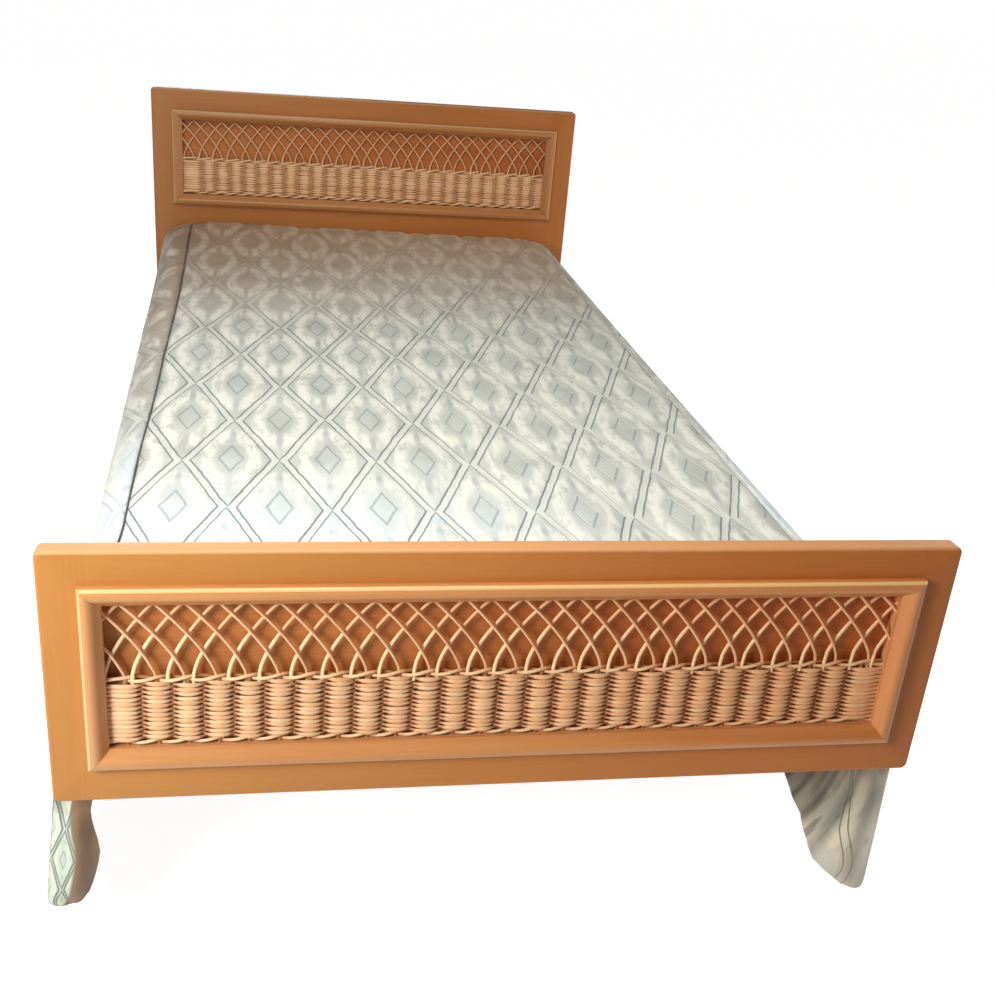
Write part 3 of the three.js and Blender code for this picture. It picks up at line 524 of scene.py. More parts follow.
# Weavers pass in front of and behind the ribs: y = -A tanh(k cos a)/tanh k, where a grows by
# half a turn per rib, and neighbours are half a turn apart. Two canes twine round each other
# along the band's top and bottom, and upright stakes stand inside the floats.
def weaverTubes(prefix, plane, base):
    w = weaveShape
    rows, uneven, square = w["rows"], w["uneven"], w["squareness"]
    count = int(2 * w["reach"] / w["pitch"] * w["perRib"])
    x = np.linspace(-w["reach"], w["reach"], count)
    rib = (x - w["firstRib"][prefix]) / w["pitch"]
    inner = np.clip(rib, 0, w["ribs"] - 1)
    rib = inner + (rib - inner) * w["endEase"]
    phase = np.pi * (rib + np.arange(rows)[:, None]) + random.normal(0, uneven, (rows, 1))
    side = np.tanh(square * np.cos(phase)) / math.tanh(square)
    fullness = 1 + random.normal(0, uneven, (rows, 1))
    opened = eased((w["openHalf"] - np.abs(x)) / w["openEase"])
    swing = w["lipSwing"] + (w["swing"] - w["lipSwing"]) * opened
    y = plane - swing * side * (1 + random.normal(0, w["swingUneven"], (rows, 1)))
    waver = np.cumsum(random.normal(0, uneven, (rows, count)), 1)
    waver -= np.linspace(0, 1, count) * waver[:, -1:]
    level = base + np.linspace(w["firstRow"], w["lastRow"], rows)[:, None]
    paths = pointsAt(x, y, level + np.clip(waver, -w["mostWaver"], w["mostWaver"]))
    height = (w["leastHeight"] + w["floatGain"] * side**2) * fullness
    least, gain = w["light"][prefix]
    light = least + gain * eased((side - w["litFrom"]) / w["litOver"])
    parts = [caneTubes(paths, height, w["halfDepth"] * fullness, light=light)]

    least, gain = w["borderLight"]
    for level in w["borders"]:
        phase = np.pi * (rib - w["borderLate"]) + np.array([[0], [np.pi]])
        twine = pointsAt(x, plane - w["borderSwing"] * np.sin(phase),
                         base + level - w["borderRise"] * np.cos(phase))
        parts.append(caneTubes(twine, w["borderRadius"], w["borderRadius"] * w["borderDepth"],
                               light=least + gain * eased(np.sin(phase) + 0.4)))

    stakeX = w["firstRib"][prefix] + np.arange(w["ribs"])[:, None] * w["pitch"]
    stakes = pointsAt(stakeX, plane, base + np.linspace(w["stakeFoot"], w["bandTop"] - 1, 6))
    return [*parts, caneTubes(stakes, *w["stakeSize"], light=w["stakeLight"])]


# Arched canes rise from the band: x = apex + lean (1 - (1 - |t|)^bend) on either side, and z
# falls from the apex with |t|. The left legs pass behind the right ones.
def archTubes(prefix, plane, base, apexZ):
    w, s = weaveShape, latticeShape
    bottom, e = w["bandTop"], s["apexRound"]
    least, gain = s["light"][prefix]
    ticks = np.linspace(-1, 1, s["samples"])
    dense = np.linspace(-s["overrun"], s["overrun"], s["dense"])
    bend = np.where(dense < 0, s["leftBend"], s["rightBend"])
    ofApex, ofLeft, ofRight = s["leanUneven"]
    arches, lights = [], []
    for rib in range(s["firstArch"], w["ribs"]):
        jitter = random.normal(0, 1, 5)
        leans = s["leftLean"] + ofLeft * jitter[1], s["rightLean"] + ofRight * jitter[2]
        away = np.where(dense < 0, *leans) * (1 - np.clip(1 - np.abs(dense), 0, 1) ** bend)
        apexRib = rib + s["root"] + s["rootDrift"] * rib / 26 + s["leftLean"] + ofApex * jitter[0]
        archX = w["firstRib"][prefix] + (apexRib + np.sign(dense) * away) * w["pitch"]
        inside = np.abs(archX) <= w["reach"]
        if inside.sum() < s["fewest"]:
            continue
        first, last = dense[inside][0], dense[inside][-1]
        t = np.where(ticks < 0, -first, last) * np.sign(ticks) * np.abs(ticks) ** s["crowding"]
        if first > 0 or last < 0:
            t = np.linspace(first, last, len(ticks))
        fall = (np.sqrt(t**2 + e * e) - e) / (math.sqrt(1 + e * e) - e)
        apex = apexZ + s["apexUneven"] * np.clip(jitter[3], -1.5, 1.5)
        ending = eased((np.abs(t) - s["endFrom"]) / s["endOver"])
        y = plane - s["layer"] * np.tanh(t / s["crossing"]) * (1 - 1.5 * ending)
        z = base + (bottom + (apex - bottom) * (1 - fall))
        arches.append(pointsAt(np.interp(t, dense, archX), y, z))
        lights.append(least + gain * np.where(t < 0, eased((-t - 0.15) / 0.6), 0))
    arches, lights = np.array(arches), np.array(lights)
    wider = 1 + s["leftGain"] * eased((lights - 0.7) / 0.3)
    radius = s["radius"] * wider * (1 + random.normal(0, s["radiusUneven"], (len(arches), 1)))
    return caneTubes(arches, radius, s["radius"], light=lights)


# The hoop that the canes end in, behind the moulding: four nested loops
def hoopBody(low, high, plane):
    h = hoopShape
    inset = high[0] - h["inner"]
    front, back = (plane + y for y in h["depth"])
    loops = [standingLoop(low[[0, 2]] + move, high[[0, 2]] - move, h["cornerRadius"], y, 2)
             for move, y in ((0, front), (inset, front), (inset, back), (0, back))]
    points = np.vstack(loops)
    faces = [gridQuads(4, len(loops[0]), True, True)]
    return points, faces, np.zeros((len(points), 2)), np.full((len(points), 2), h["light"])


# A panel's weavers, borders, stakes, arches and hoop as one body
def wovenBodies(prefix):
    low, high = spanOf(f"{prefix}_woven_panel")
    plane, base = low[1] + weaveShape["depthInPanel"], low[2]
    apexZ = high[2] - weaveShape["lip"] - latticeShape["apexDrop"] - base
    parts = weaverTubes(prefix, plane, base)
    points, faces, uv, marks = joined([*parts, archTubes(prefix, plane, base, apexZ),
                                       hoopBody(low, high, plane)])
    return points, faces, uv, {"tone": marks[:, 0], "light": marks[:, 1]}


for prefix, tones in (("foot", woodTones["board"]), ("head", woodTones["headboard"])):
    frameNodes, mouldingNodes = ([f"{prefix}_{part}" for part in boardShape[parts]]
                                 for parts in ("frame", "mouldings"))
    joint = (spanOf(f"{prefix}_woven_panel")[1][0] + boardShape["gap"]) * 0.001
    edgeZ = (spanOf(f"{prefix}_top_rail")[1][2] - boardShape["edgeRadius"]) * 0.001
    newPiece(f"{prefix}board_frame", boardBody(prefix, frameNodes),
             boardFinish(f"{prefix}board wood", tones, joint, edgeZ), frameNodes, sharp=32)
    newPiece(f"{prefix}board_moulding", mouldingBodies(prefix, mouldingNodes), mouldingFinish,
             mouldingNodes, sharp=34)
    weave = wovenBodies(prefix)
    newPiece(f"{prefix}board_rattan", weave, caneFinish, [f"{prefix}_woven_panel"], sharp=70)
    print(prefix, "board made,", len(weave[0]), "points in its weave")


# Base
legShape = {
    "sides": 48,
    "profile": [(15.5, 0), (17.4, 0.8), (18.6, 3.4), (19, 7), (18.6, 10.4), (17.4, 13), (16.6, 15),
                (16.7, 18), (17.3, 26), (19.2, 60), (21.4, 100), (23.2, 140), (24.1, 170), (24.3, 184),
                (24.1, 187.4), (23.6, 188.8), (24.4, 190), (26.2, 192), (27, 195.5), (27, 199),
                (26.8, 208.6), (25.9, 209.7)],
}
screwShape = {
    "sides": 20, "heights": [-20, 20], "out": 24, "thick": 3,
    "profile": [(4.2, -0.6), (4.2, 0), (3.9, 0.7), (3.0, 1.3), (1.9, 1.6), (1.5, 1.62), (1.2, 0.5),
                (0.5, 0.3)],
}
screwPoints, screwFaces = turnedBody(screwShape, (0, 0, 0))
out, thick, screws = screwShape["out"], screwShape["thick"], []
for end, way in (("foot", 1), ("head", -1)):
    for side, sign in (("left", 1), ("right", -1)):
        low, high = spanOf(f"{end}_{side}_leg")
        centre = (low + high) / 2
        newPiece(f"{end}_{side}_turned_leg", turnedBody(legShape, (*centre[:2], low[2])), pineUpright,
                 [f"{end}_{side}_leg"], sharp=35)
        low, high = spanOf(f"{end}_{side}_bracket")
        corner = (low + high - [sign, way, 0] * (high - low)) / 2
        for lift in screwShape["heights"]:
            # one into the board and one into the rail
            for order, turned, place in (([0, 2, 1], [1, way, 1], [sign * out, way * thick, lift]),
                                         ([2, 0, 1], [sign, 1, 1], [sign * thick, way * out, lift])):
                screws.append((screwPoints[:, order] * turned + (corner + place), screwFaces))
newPiece("bracket_screws", joined(screws), steelFinish, sharp=50)

keptFinishes = {"_back_panel": panelFinish, "_side_rail": railFinish, "_cleat": pineAlongY,
                "slat_": pineAlongX, "_bearer": pineAlongX, "_bracket": steelFinish}
for node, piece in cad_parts.items():
    for word, finish in keptFinishes.items():
        if word in node:
            piece.data.materials.clear()
            piece.data.materials.append(finish.material)
print("base made")


# Bedding
mattressLow, mattressHigh = spanOf("mattress")
bedMiddle, topZ = (mattressLow + mattressHigh) / 2, mattressHigh[2]
clothShape = {
    "width": 900, "length": 1900, "crown": 7, "edgeRadius": 32, "cornerRadius": 60,
    "lift": 2.1, "thickness": 2.0, "seamGap": 1.5, "footTuck": 90, "headTuck": 60,
    "puff": 3.4, "ruck": 1.3, "atSeam": 14, "atEnd": 6,
    # grid steps: along and across the top, down a tuck, over an edge and round a corner
    "along": 262, "across": 151, "tuck": 12, "bend": 8, "corner": 10,
}
halfWidth, halfLength = clothShape["width"] / 2, clothShape["length"] / 2
cornerX, cornerY = (half - clothShape["cornerRadius"] for half in (halfWidth, halfLength))
seamRadius = clothShape["cornerRadius"] - clothShape["edgeRadius"]
settleShape = {
    "from": 300, "over": 110, "rightIn": 19, "rightEase": 13, "rightPower": 2.2, "leftSkew": 8,
    "headRise": 7, "headLean": 6, "headOut": 6, "headFrom": 0.7, "headOver": 0.3,
    "seamAt": (0.93, 0.07),
    # the seam's own moves: how far in, from where along the bed and over what share of it
    "seam": [(6, 0.4, 0.3), (-7, 0.42, -0.22), (-3, 0.13, -0.05)],
}
# The lattice of diamonds: its start on the top and numbers per millimetre, and how it goes on
# over the drops, whose UV lies shifted along the bed
lattice = {
    "band": 0.18, "startX": -358.26, "startY": -37.77, "acrossPerX": 0.015472,
    "acrossPerY": -0.00041845, "alongPerX": -0.00027007, "alongPerY": -0.0063866,
    "left": -0.924, "right": 12.01, "sideAlong": -0.241, "shift": 2000,
}
# The woven figure in shares of a diamond: the small diamond, the ring of leaves and the spots
figure = {"small": (0.25, 0.3), "dent": (0.27, 0.3), "dentAt": 0.6, "leaves": (2.1, 1.75),
          "leafRoot": 0.1, "spotAt": 0.6, "spotAcross": 9, "spotAlong": 120}


# The mattress lies a little askew in its frame: above its lower part the right edge moves in by
# 19 - 13 s^2.2, the left one turns by 16 s - 8, the last part towards the head rises, and the
# left seam runs out towards the foot and in towards the head
def settled(points):
    s = settleShape
    x, y, z = np.moveaxis(points, -1, 0)
    along = np.clip((y - bedMiddle[1]) / clothShape["length"] + 0.5, 0, 1)
    side = x / halfWidth
    upper = eased((z - s["from"]) / s["over"])
    headward = eased((along - s["headFrom"]) / s["headOver"])
    inwards = -(s["rightIn"] - s["rightEase"] * along ** s["rightPower"]) * np.clip(side, 0, 1.1)
    skew = (2 * along - 1) * s["leftSkew"] * np.clip(-side, 0, 1.1)
    rise = headward * (s["headRise"] - s["headLean"] * side)
    atSeam = np.clip(np.minimum(-side / s["seamAt"][0], (1 + side) / s["seamAt"][1]), 0, 1)
    skew = skew + atSeam * sum(move * eased((along - start) / over) for move, start, over in s["seam"])
    return points + pointsAt(inwards + skew, headward * s["headOut"], rise) * upper[..., None]


# The bedding's soft top: crown (1 - |x/a|^2.5)(1 - |y/b|^6) over the mattress's edges
def topAt(x, y):
    c = clothShape
    across, along = np.minimum(np.abs(x) / halfWidth, 1), np.minimum(np.abs(y) / halfLength, 1)
    return topZ - c["crown"] + c["crown"] * (1 - across**2.5) * (1 - along**6) + c["lift"]


# The seams' way round the mattress: each step's angle at the corners, and its centre along the bed
def seamWay(cornerSteps):
    turns = np.linspace(-np.pi / 2, 0, cornerSteps + 1)[:-1]
    along = np.linspace(-cornerY, cornerY, clothShape["along"])
    angle = np.concatenate([turns, np.zeros(len(along)), -turns[::-1]])
    return angle, np.pad(along, cornerSteps, mode="edge")


# A sum of a few long waves with fixed random directions, between about -1 and 1
def softWaves(x, y, seed, longest, shortest, count=9):
    source = np.random.default_rng(seed)
    total = np.zeros(np.broadcast(x, y).shape)
    for _ in range(count):
        length = source.uniform(shortest, longest)
        angle, phase = source.uniform(0, np.pi), source.uniform(0, 2 * np.pi)
        total += np.sin(2 * np.pi * (x * np.cos(angle) + y * np.sin(angle)) / length + phase)
    return total / math.sqrt(count)


# Unit normals of a grid of points, from the cross product of its two directions
def gridNormals(points):
    normal = np.cross(np.gradient(points, axis=0), np.gradient(points, axis=1))
    return normal / np.maximum(np.linalg.norm(normal, axis=-1, keepdims=True), 1e-9)


# Lattice numbers of a place on the cloth's UV, in millimetres: across and towards the foot. On a
# drop, x runs along the bed and y down the cloth, away from its seam.
def latticeAt(panel, x, y):
    p = lattice
    if panel == "top":
        x, y = x - p["startX"], y - p["startY"]
        return x * p["acrossPerX"] + y * p["acrossPerY"], x * p["alongPerX"] + y * p["alongPerY"]
    perDown = sideShapes[panel]["sign"] * p["acrossPerX"]
    return y * perDown + p[panel], (x - p["shift"]) * p["alongPerY"] + p["sideAlong"]


# Where a point lies in its diamond: 0, 0 at the middle, and |a| + |b| = 1 at the edge. It takes
# numbers and shader values alike.
def inDiamond(u, v):
    p, q = (u + v + 1) % 2 - 1, (u - v + 1) % 2 - 1
    return (p + q) / 2, (p - q) / 2


# Height of the quilting: nothing on the bands between diamonds, rising to a soft cushion inside
# with a dented ring, and leaves round it
def quilting(u, v):
    a, b = inDiamond(u, v)
    inside = 1 - (np.abs(a) / (1 - lattice["band"]) + np.abs(b))
    cushion = np.minimum(np.sqrt(np.clip(inside, 0, 1) * 1.6), 1.0)
    (dentA, dentB), (leafA, leafB) = figure["dent"], figure["leaves"]
    ring = (a / dentA) ** 2 + (b / dentB) ** 2 - figure["dentAt"]
    onLeaf = np.exp(-((np.hypot(a * leafA, b * leafB) - 1) ** 2) * 18)
    leaves = onLeaf * np.abs(a) * (np.abs(b) + figure["leafRoot"]) * 6
    return cushion - 0.2 * np.exp(-(ring**2) * 4) + 0.3 * leaves


# Top panel: sections from the tuck at the foot, over the mattress and down at the head. Each
# group is its places along the bed, its fall below the top and its half width.
def topPiece():
    c = clothShape
    radius = c["edgeRadius"] + c["lift"]
    half = halfLength - c["edgeRadius"]
    reach, endHalf = seamRadius - c["seamGap"], cornerX - c["seamGap"]
    tuck = np.linspace(0, 1, c["tuck"] + 1)[:-1]
    bend = np.linspace(0, np.pi / 2, c["bend"] + 1)[:-1]
    corner = np.linspace(-np.pi / 2, 0, c["corner"] + 1)[:-1]
    overEdge, overCorner = (radius * (np.sin(bend) - 1), cornerX + reach * np.cos(corner))
    groups = [
        (-half - radius, -radius - c["footTuck"] * (1 - tuck), endHalf),
        (-half - radius * np.cos(bend), overEdge, endHalf),
        (-cornerY + reach * np.sin(corner), 0, overCorner),
        (np.linspace(-cornerY, cornerY, c["along"]), 0, cornerX + reach),
        (cornerY - reach * np.sin(corner[::-1]), 0, overCorner[::-1]),
        (half + radius * np.cos(bend[::-1]), overEdge[::-1], endHalf),
        (half + radius, -radius - c["headTuck"] * (1 - tuck[::-1]), endHalf),
    ]
    y, fall, width = np.hstack([np.array(np.broadcast_arrays(*group)) for group in groups])
    across = np.linspace(-1, 1, c["across"])[:, None]
    x, y = np.broadcast_arrays(across * width, y)
    points = settled(pointsAt(x, y + bedMiddle[1], topAt(x, y) + fall))
    run = np.cumsum(np.hypot(np.diff(y[0], prepend=y[0, 0]), np.diff(fall, prepend=fall[0])))
    flat = slice(len(tuck) + len(bend), -len(tuck) - len(bend))
    run = run - np.interp(0, y[0, flat], run[flat]) + bedMiddle[1]
    onTop = np.clip((fall + radius) / radius, 0, 1)
    nearSeam = np.clip((1 - np.abs(across)) * width / c["atSeam"], 0, 1)
    rows = len(run)
    nearEnd = np.clip((rows / 2 - np.abs(np.arange(rows) - rows / 2)) / c["atEnd"], 0, 1)
    lift = c["puff"] * quilting(*latticeAt("top", points[..., 0], run)) * (0.25 + 0.75 * onTop)
    lift = lift + c["ruck"] * (0.8 + softWaves(x, y, 5, 420, 110)) * onTop
    normal = gridNormals(points)
    normal *= np.sign(normal[len(normal) // 2, rows // 2, 2])
    points += normal * (lift * nearSeam * nearEnd)[..., None]
    uv = np.stack(np.broadcast_arrays(points[..., 0], run), -1) * 0.001
    return points.reshape(-1, 3), [gridQuads(*x.shape)], uv.reshape(-1, 2)


dropShape = {
    "outside": 480.3, "clear": 302, "hem": 30, "lowEnd": 961, "fold": 4.5, "foldPitch": 320,
    "foldTop": 330, "slope": 1.76, "flapTop": 208.5, "ruck": 0.9, "hemEase": 70, "curlTop": 16,
    # grid steps: round a corner, over the edge, down the slope, down the rail and the loose end
    "corner": 14, "over": 9, "slopeRows": 14, "hangRows": 12, "flapSteps": 72, "flapRows": 64,
}
# Out and flare are past the rail, hem is above the floor at the foot, and shoulder is the puff at
# the foot and what it gains by the head. Of the loose end: its width at each height, the bulge and
# what is left of it at the tip, the folds (size, pitch, phase, spreading), where the lining starts,
# its brown partly painted shade, the figure's cell (middle and half size, across and down), and how
# thick its lines are.
sideShapes = {
    "left": {
        "sign": -1, "out": 3, "flare": 26, "hem": 64, "shoulder": [12, 10], "bulge": 12, "tip": 0.25,
        "seed": 31, "fold": (1.6, 24, 0.5, 0.0012), "lining": 0.52, "curl": 7,
        "cell": (15, 75.5, 14.8, 41.3), "thick": 0.7, "tint": paint(238, 240, 224),
        "widths": [(64, 22), (65.5, 28), (68, 33), (72, 38), (80, 44), (92, 47), (108, 50), (124, 52),
                   (138, 52.5), (152, 49.5), (166, 44.5), (178, 41), (190, 39), (208.5, 41)],
    },
    "right": {
        "sign": 1, "out": 3.5, "flare": 5, "hem": 24, "shoulder": [0, 0], "bulge": 5, "tip": 1.2,
        "seed": 33, "fold": (3.4, 30, 3.7, 0.006), "lining": None, "curl": 2.5,
        # The right tint goes past white: painted light that brightens the loose end
        "cell": (8, 60, 60, 90), "thick": 0.35, "tint": paint(276, 258, 236),
        "widths": [(24, 20), (25, 24), (28, 29), (36, 38), (45, 47), (56, 60), (70, 75), (94, 87.5),
                   (117, 97), (140, 103.5), (164, 117.5), (185, 127), (208.5, 137)],
    },
}


# A side drop: over the mattress edge on a quarter circle, out to the rail by a power of the
# height, then down with a slight flare. Long folds deepen to the hem, the shoulder puffs and
# rucks run along the cloth. The UV is the place along the bed and the cloth's run down to it.
def dropGrid(d, f):
    radius = clothShape["edgeRadius"] + clothShape["lift"]
    angle, along = (way[:, None] for way in seamWay(d["corner"]))
    cosine, turn = np.cos(angle), np.sin(angle)
    shoulder = topAt(cornerX + seamRadius * cosine, along + seamRadius * turn) - radius
    lowY = along + turn * (d["lowEnd"] - cornerY)
    nearFoot = np.exp(-(((lowY + d["lowEnd"]) / d["hemEase"]) ** 2))
    hem = d["hem"] + (f["hem"] - d["hem"]) * nearFoot

    bend = np.linspace(0, np.pi / 2, d["over"] + 1)
    reach = seamRadius + (clothShape["seamGap"] + (radius - clothShape["seamGap"]) * np.sin(bend))
    overX, overY = cornerX + reach * cosine, along + reach * turn
    share = np.linspace(0, 1, d["slopeRows"] + 1)[1:]
    outside = d["outside"] + f["out"]
    slopeX = overX[:, -1:] + (outside - overX[:, -1:]) * share ** d["slope"]
    slopeY = overY[:, -1:] + (lowY - overY[:, -1:]) * share ** d["slope"]
    slopeZ = shoulder + (d["clear"] - shoulder) * share
    rail = np.linspace(d["clear"], d["flapTop"], d["hangRows"] + 1)[1:] + hem * 0
    share = np.linspace(0, 1, d["flapRows"] + 1)[1:]
    hangZ = np.concatenate([rail, d["flapTop"] + (hem - d["flapTop"]) * share], 1)
    hangX = outside + f["flare"] * (d["clear"] - hangZ) / (d["clear"] - hem)
    x = np.concatenate([overX, slopeX, hangX], 1)
    y = np.concatenate([overY, slopeY, np.broadcast_to(lowY, hangZ.shape)], 1)
    z = np.concatenate([shoulder + radius * np.cos(bend), slopeZ, hangZ], 1)
    down = np.cumsum(np.hypot(np.diff(x, prepend=x[:, :1]), np.diff(z, prepend=z[:, :1])), 1)

    depth = np.clip((d["foldTop"] - z) / d["foldTop"], 0, 1)
    swing = 2 * np.pi * (y + d["lowEnd"]) / d["foldPitch"] + softWaves(y, z * 0, 21, 900, 500, 3)
    x = x + d["fold"] * depth * (0.5 - 0.5 * np.cos(swing))
    below = np.clip((shoulder + radius - z) / (shoulder + radius - d["clear"]), 0, 1)
    first, more = f["shoulder"]
    x = x + (first + more * (lowY / d["lowEnd"] + 1) / 2) * np.sin(np.pi * below**0.7) * cosine
    rucks = softWaves(y * 0.25, down, f["seed"], 130, 60, 6) * np.clip(down / 30, 0, 1)
    x = x + d["ruck"] * rucks * np.clip((y + d["lowEnd"]) / 40, 0, 1) * (z < shoulder)
    curl = np.clip((hem + d["curlTop"] - z) / d["curlTop"], 0, 1)
    x = x - f["curl"] * (1 - np.sqrt(1 - curl**2 * 0.96)) * nearFoot
    uv = np.stack([y + lattice["shift"], down], -1)
    return settled(pointsAt(f["sign"] * x, y + bedMiddle[1], z)), uv


# The loose end turns in below the rail from the drop's edge at the foot. Across it the cloth
# bulges forward by B sin(pi s), with folds A sin(2 pi c / pitch) that spread to the hem, where c
# is the run across times exp(-k fall). It gives its points, its run and a share of dark colour: on the
# left the lining, partly painted shade, on the right painted shade.
def looseEnd(d, f, edge):
    z = edge[:, 2]
    s = (np.arange(1, d["flapSteps"] + 1) / d["flapSteps"])[:, None]
    run = s * np.interp(z, *np.array(f["widths"]).T)
    lower = eased((d["flapTop"] - z) / 45)
    size, pitch, phase, spreading = f["fold"]
    wave = np.sin(2 * np.pi * (run * np.exp(-spreading * (d["flapTop"] - z))) / pitch + phase)
    plump = f["tip"] + (1 - f["tip"]) * eased((z - z[-1]) / 34)
    folds = size * wave * np.clip(run / 18, 0, 1)
    forward = lower * (folds + f["bulge"] * np.sin(np.pi * s) * plump)
    forward = forward - 5 * (1 - lower) * np.clip(run / 12, 0, 1)
    if f["lining"]:
        lining = eased((s - (f["lining"] - 0.06 * eased((z - 150) / 50))) / 0.08 + 0.5)
    else:
        # On the right the share is painted shade: in the fold hollows, further in near the top, and
        # along the top under the board
        lining = 0.25 * np.clip(-wave, 0, 1) ** 2 * np.clip(run / 18, 0, 1)
        lining = lining + 0.3 * eased((run - 40) / 60) * eased((z - 80) / 60)
        lining = lining + 0.48 * eased((z - 105) / 70)
    return pointsAt(edge[:, 0] - f["sign"] * run, edge[:, 1] - forward, z), run, lining.clip(0, 1)


# The drop's and the loose end's grids as one mesh: they share the points of the drop's first
# column. It comes with the UV place, in millimetres, where the loose end starts.
def dropPiece(side):
    drop, dropUv = dropGrid(dropShape, sideShapes[side])
    rows = dropShape["flapRows"] + 1
    flap, run, lining = looseEnd(dropShape, sideShapes[side], drop[0, -rows:])
    edgeAlong, edgeDown = dropUv[0, 0, 0], dropUv[0, -rows:, 1]
    flapUv = np.stack(np.broadcast_arrays(edgeAlong - run, edgeDown), -1)
    ids = np.arange(dropUv[..., 0].size).reshape(dropUv.shape[:2])
    flapIds = np.arange(run.size).reshape(run.shape) + ids.size
    flapIds = np.vstack([ids[:1, -rows:], flapIds])
    points, uv = (np.vstack([first.reshape(-1, first.shape[-1]), second.reshape(-1, first.shape[-1])])
                  for first, second in ((drop, flap), (dropUv, flapUv)))
    faces = [np.vstack([quadsOf(ids), quadsOf(flapIds)[:, ::-1]])]
    liningAndShadeShare, loose = (np.concatenate([np.zeros(ids.size), onFlap.ravel()])
                    for onFlap in (lining, np.ones(run.size)))
    loose[flapIds[0]] = 1
    return (points, faces, uv * 0.001, {"lining": liningAndShadeShare, "loose": loose}), (edgeAlong, edgeDown[0])


# Cloth colours: a pale satin ground, blue-grey outlines round every diamond, a small diamond
# in each middle, darker spots above and below it and cream leaves round it. On the ground a pool
# of bluish white light is painted at the foot and brown shade towards the head, where the outlines
# are painted fading in the dim light, so that the leaves show as broken rings.
clothPaints = {
    "litNear": (paint(236, 246, 246), paint(224, 236, 234)),
    "ground": (paint(207, 209, 197), paint(190, 192, 180)),
    "far": (paint(200, 174, 142), paint(180, 155, 124)), "farLeft": paint(160, 128, 96),
    "leaf": paint(247, 246, 230), "shadedLeafFar": paint(232, 218, 194), "spot": paint(150, 160, 158),
    "small": paint(186, 200, 196), "line": paint(98, 116, 124), "sheenPaleLine": paint(226, 224, 206),
    # The dark colours of the loose ends: on the left a lining partly painted shade, on the right
    # painted shade
    "lining": {"left": paint(143, 114, 86), "right": paint(92, 80, 60)},
}
clothShares = {"band": 0.4, "leaf": 0.85, "leafLoss": 0.35, "spot": 0.4, "small": 0.08, "ink": 0.78,
               "smallLine": 0.55, "fading": 0.85, "farLeft": 0.5, "underSeam": 0.22, "creaseShade": 0.92}
# Places in metres: along the bed where the painted pool of light at the foot ends and where the painted
# brown shade towards the head starts, and across the top where the pool of light ends, where the
# painted shade deepens, where the outlines last and where those of one direction are painted pale as
# sheen
grounds = {
    "top": {"litNear": (-0.45, -0.85), "far": (0.0, 0.85), "lightPoolAcross": (0.3, -0.2), "deeperShade": (0.1, -0.4),
            "lasting": (-0.25, 0.2), "pale": (-0.15, 0.2)},
    "left": {"litNear": (-0.2, -0.7), "far": (-0.55, 0.75)},
    "right": {"litNear": (-0.2, -0.7), "far": (-0.2, 1.6)},
}
# The wider loose end, in millimetres: one double band wavers down it, and painted crease shade crosses
# it
looseBand = {"middle": 46, "inwards": (80, 150), "by": 16, "back": (148, 185), "backBy": 8,
             "widening": 0.043, "least": 1}
creaseShadePattern = {"turned": (0.82, 0.57), "waves": (0.085, 0.012, 1), "across": (10, 55),
                "down": (70, 145), "share": 0.75}


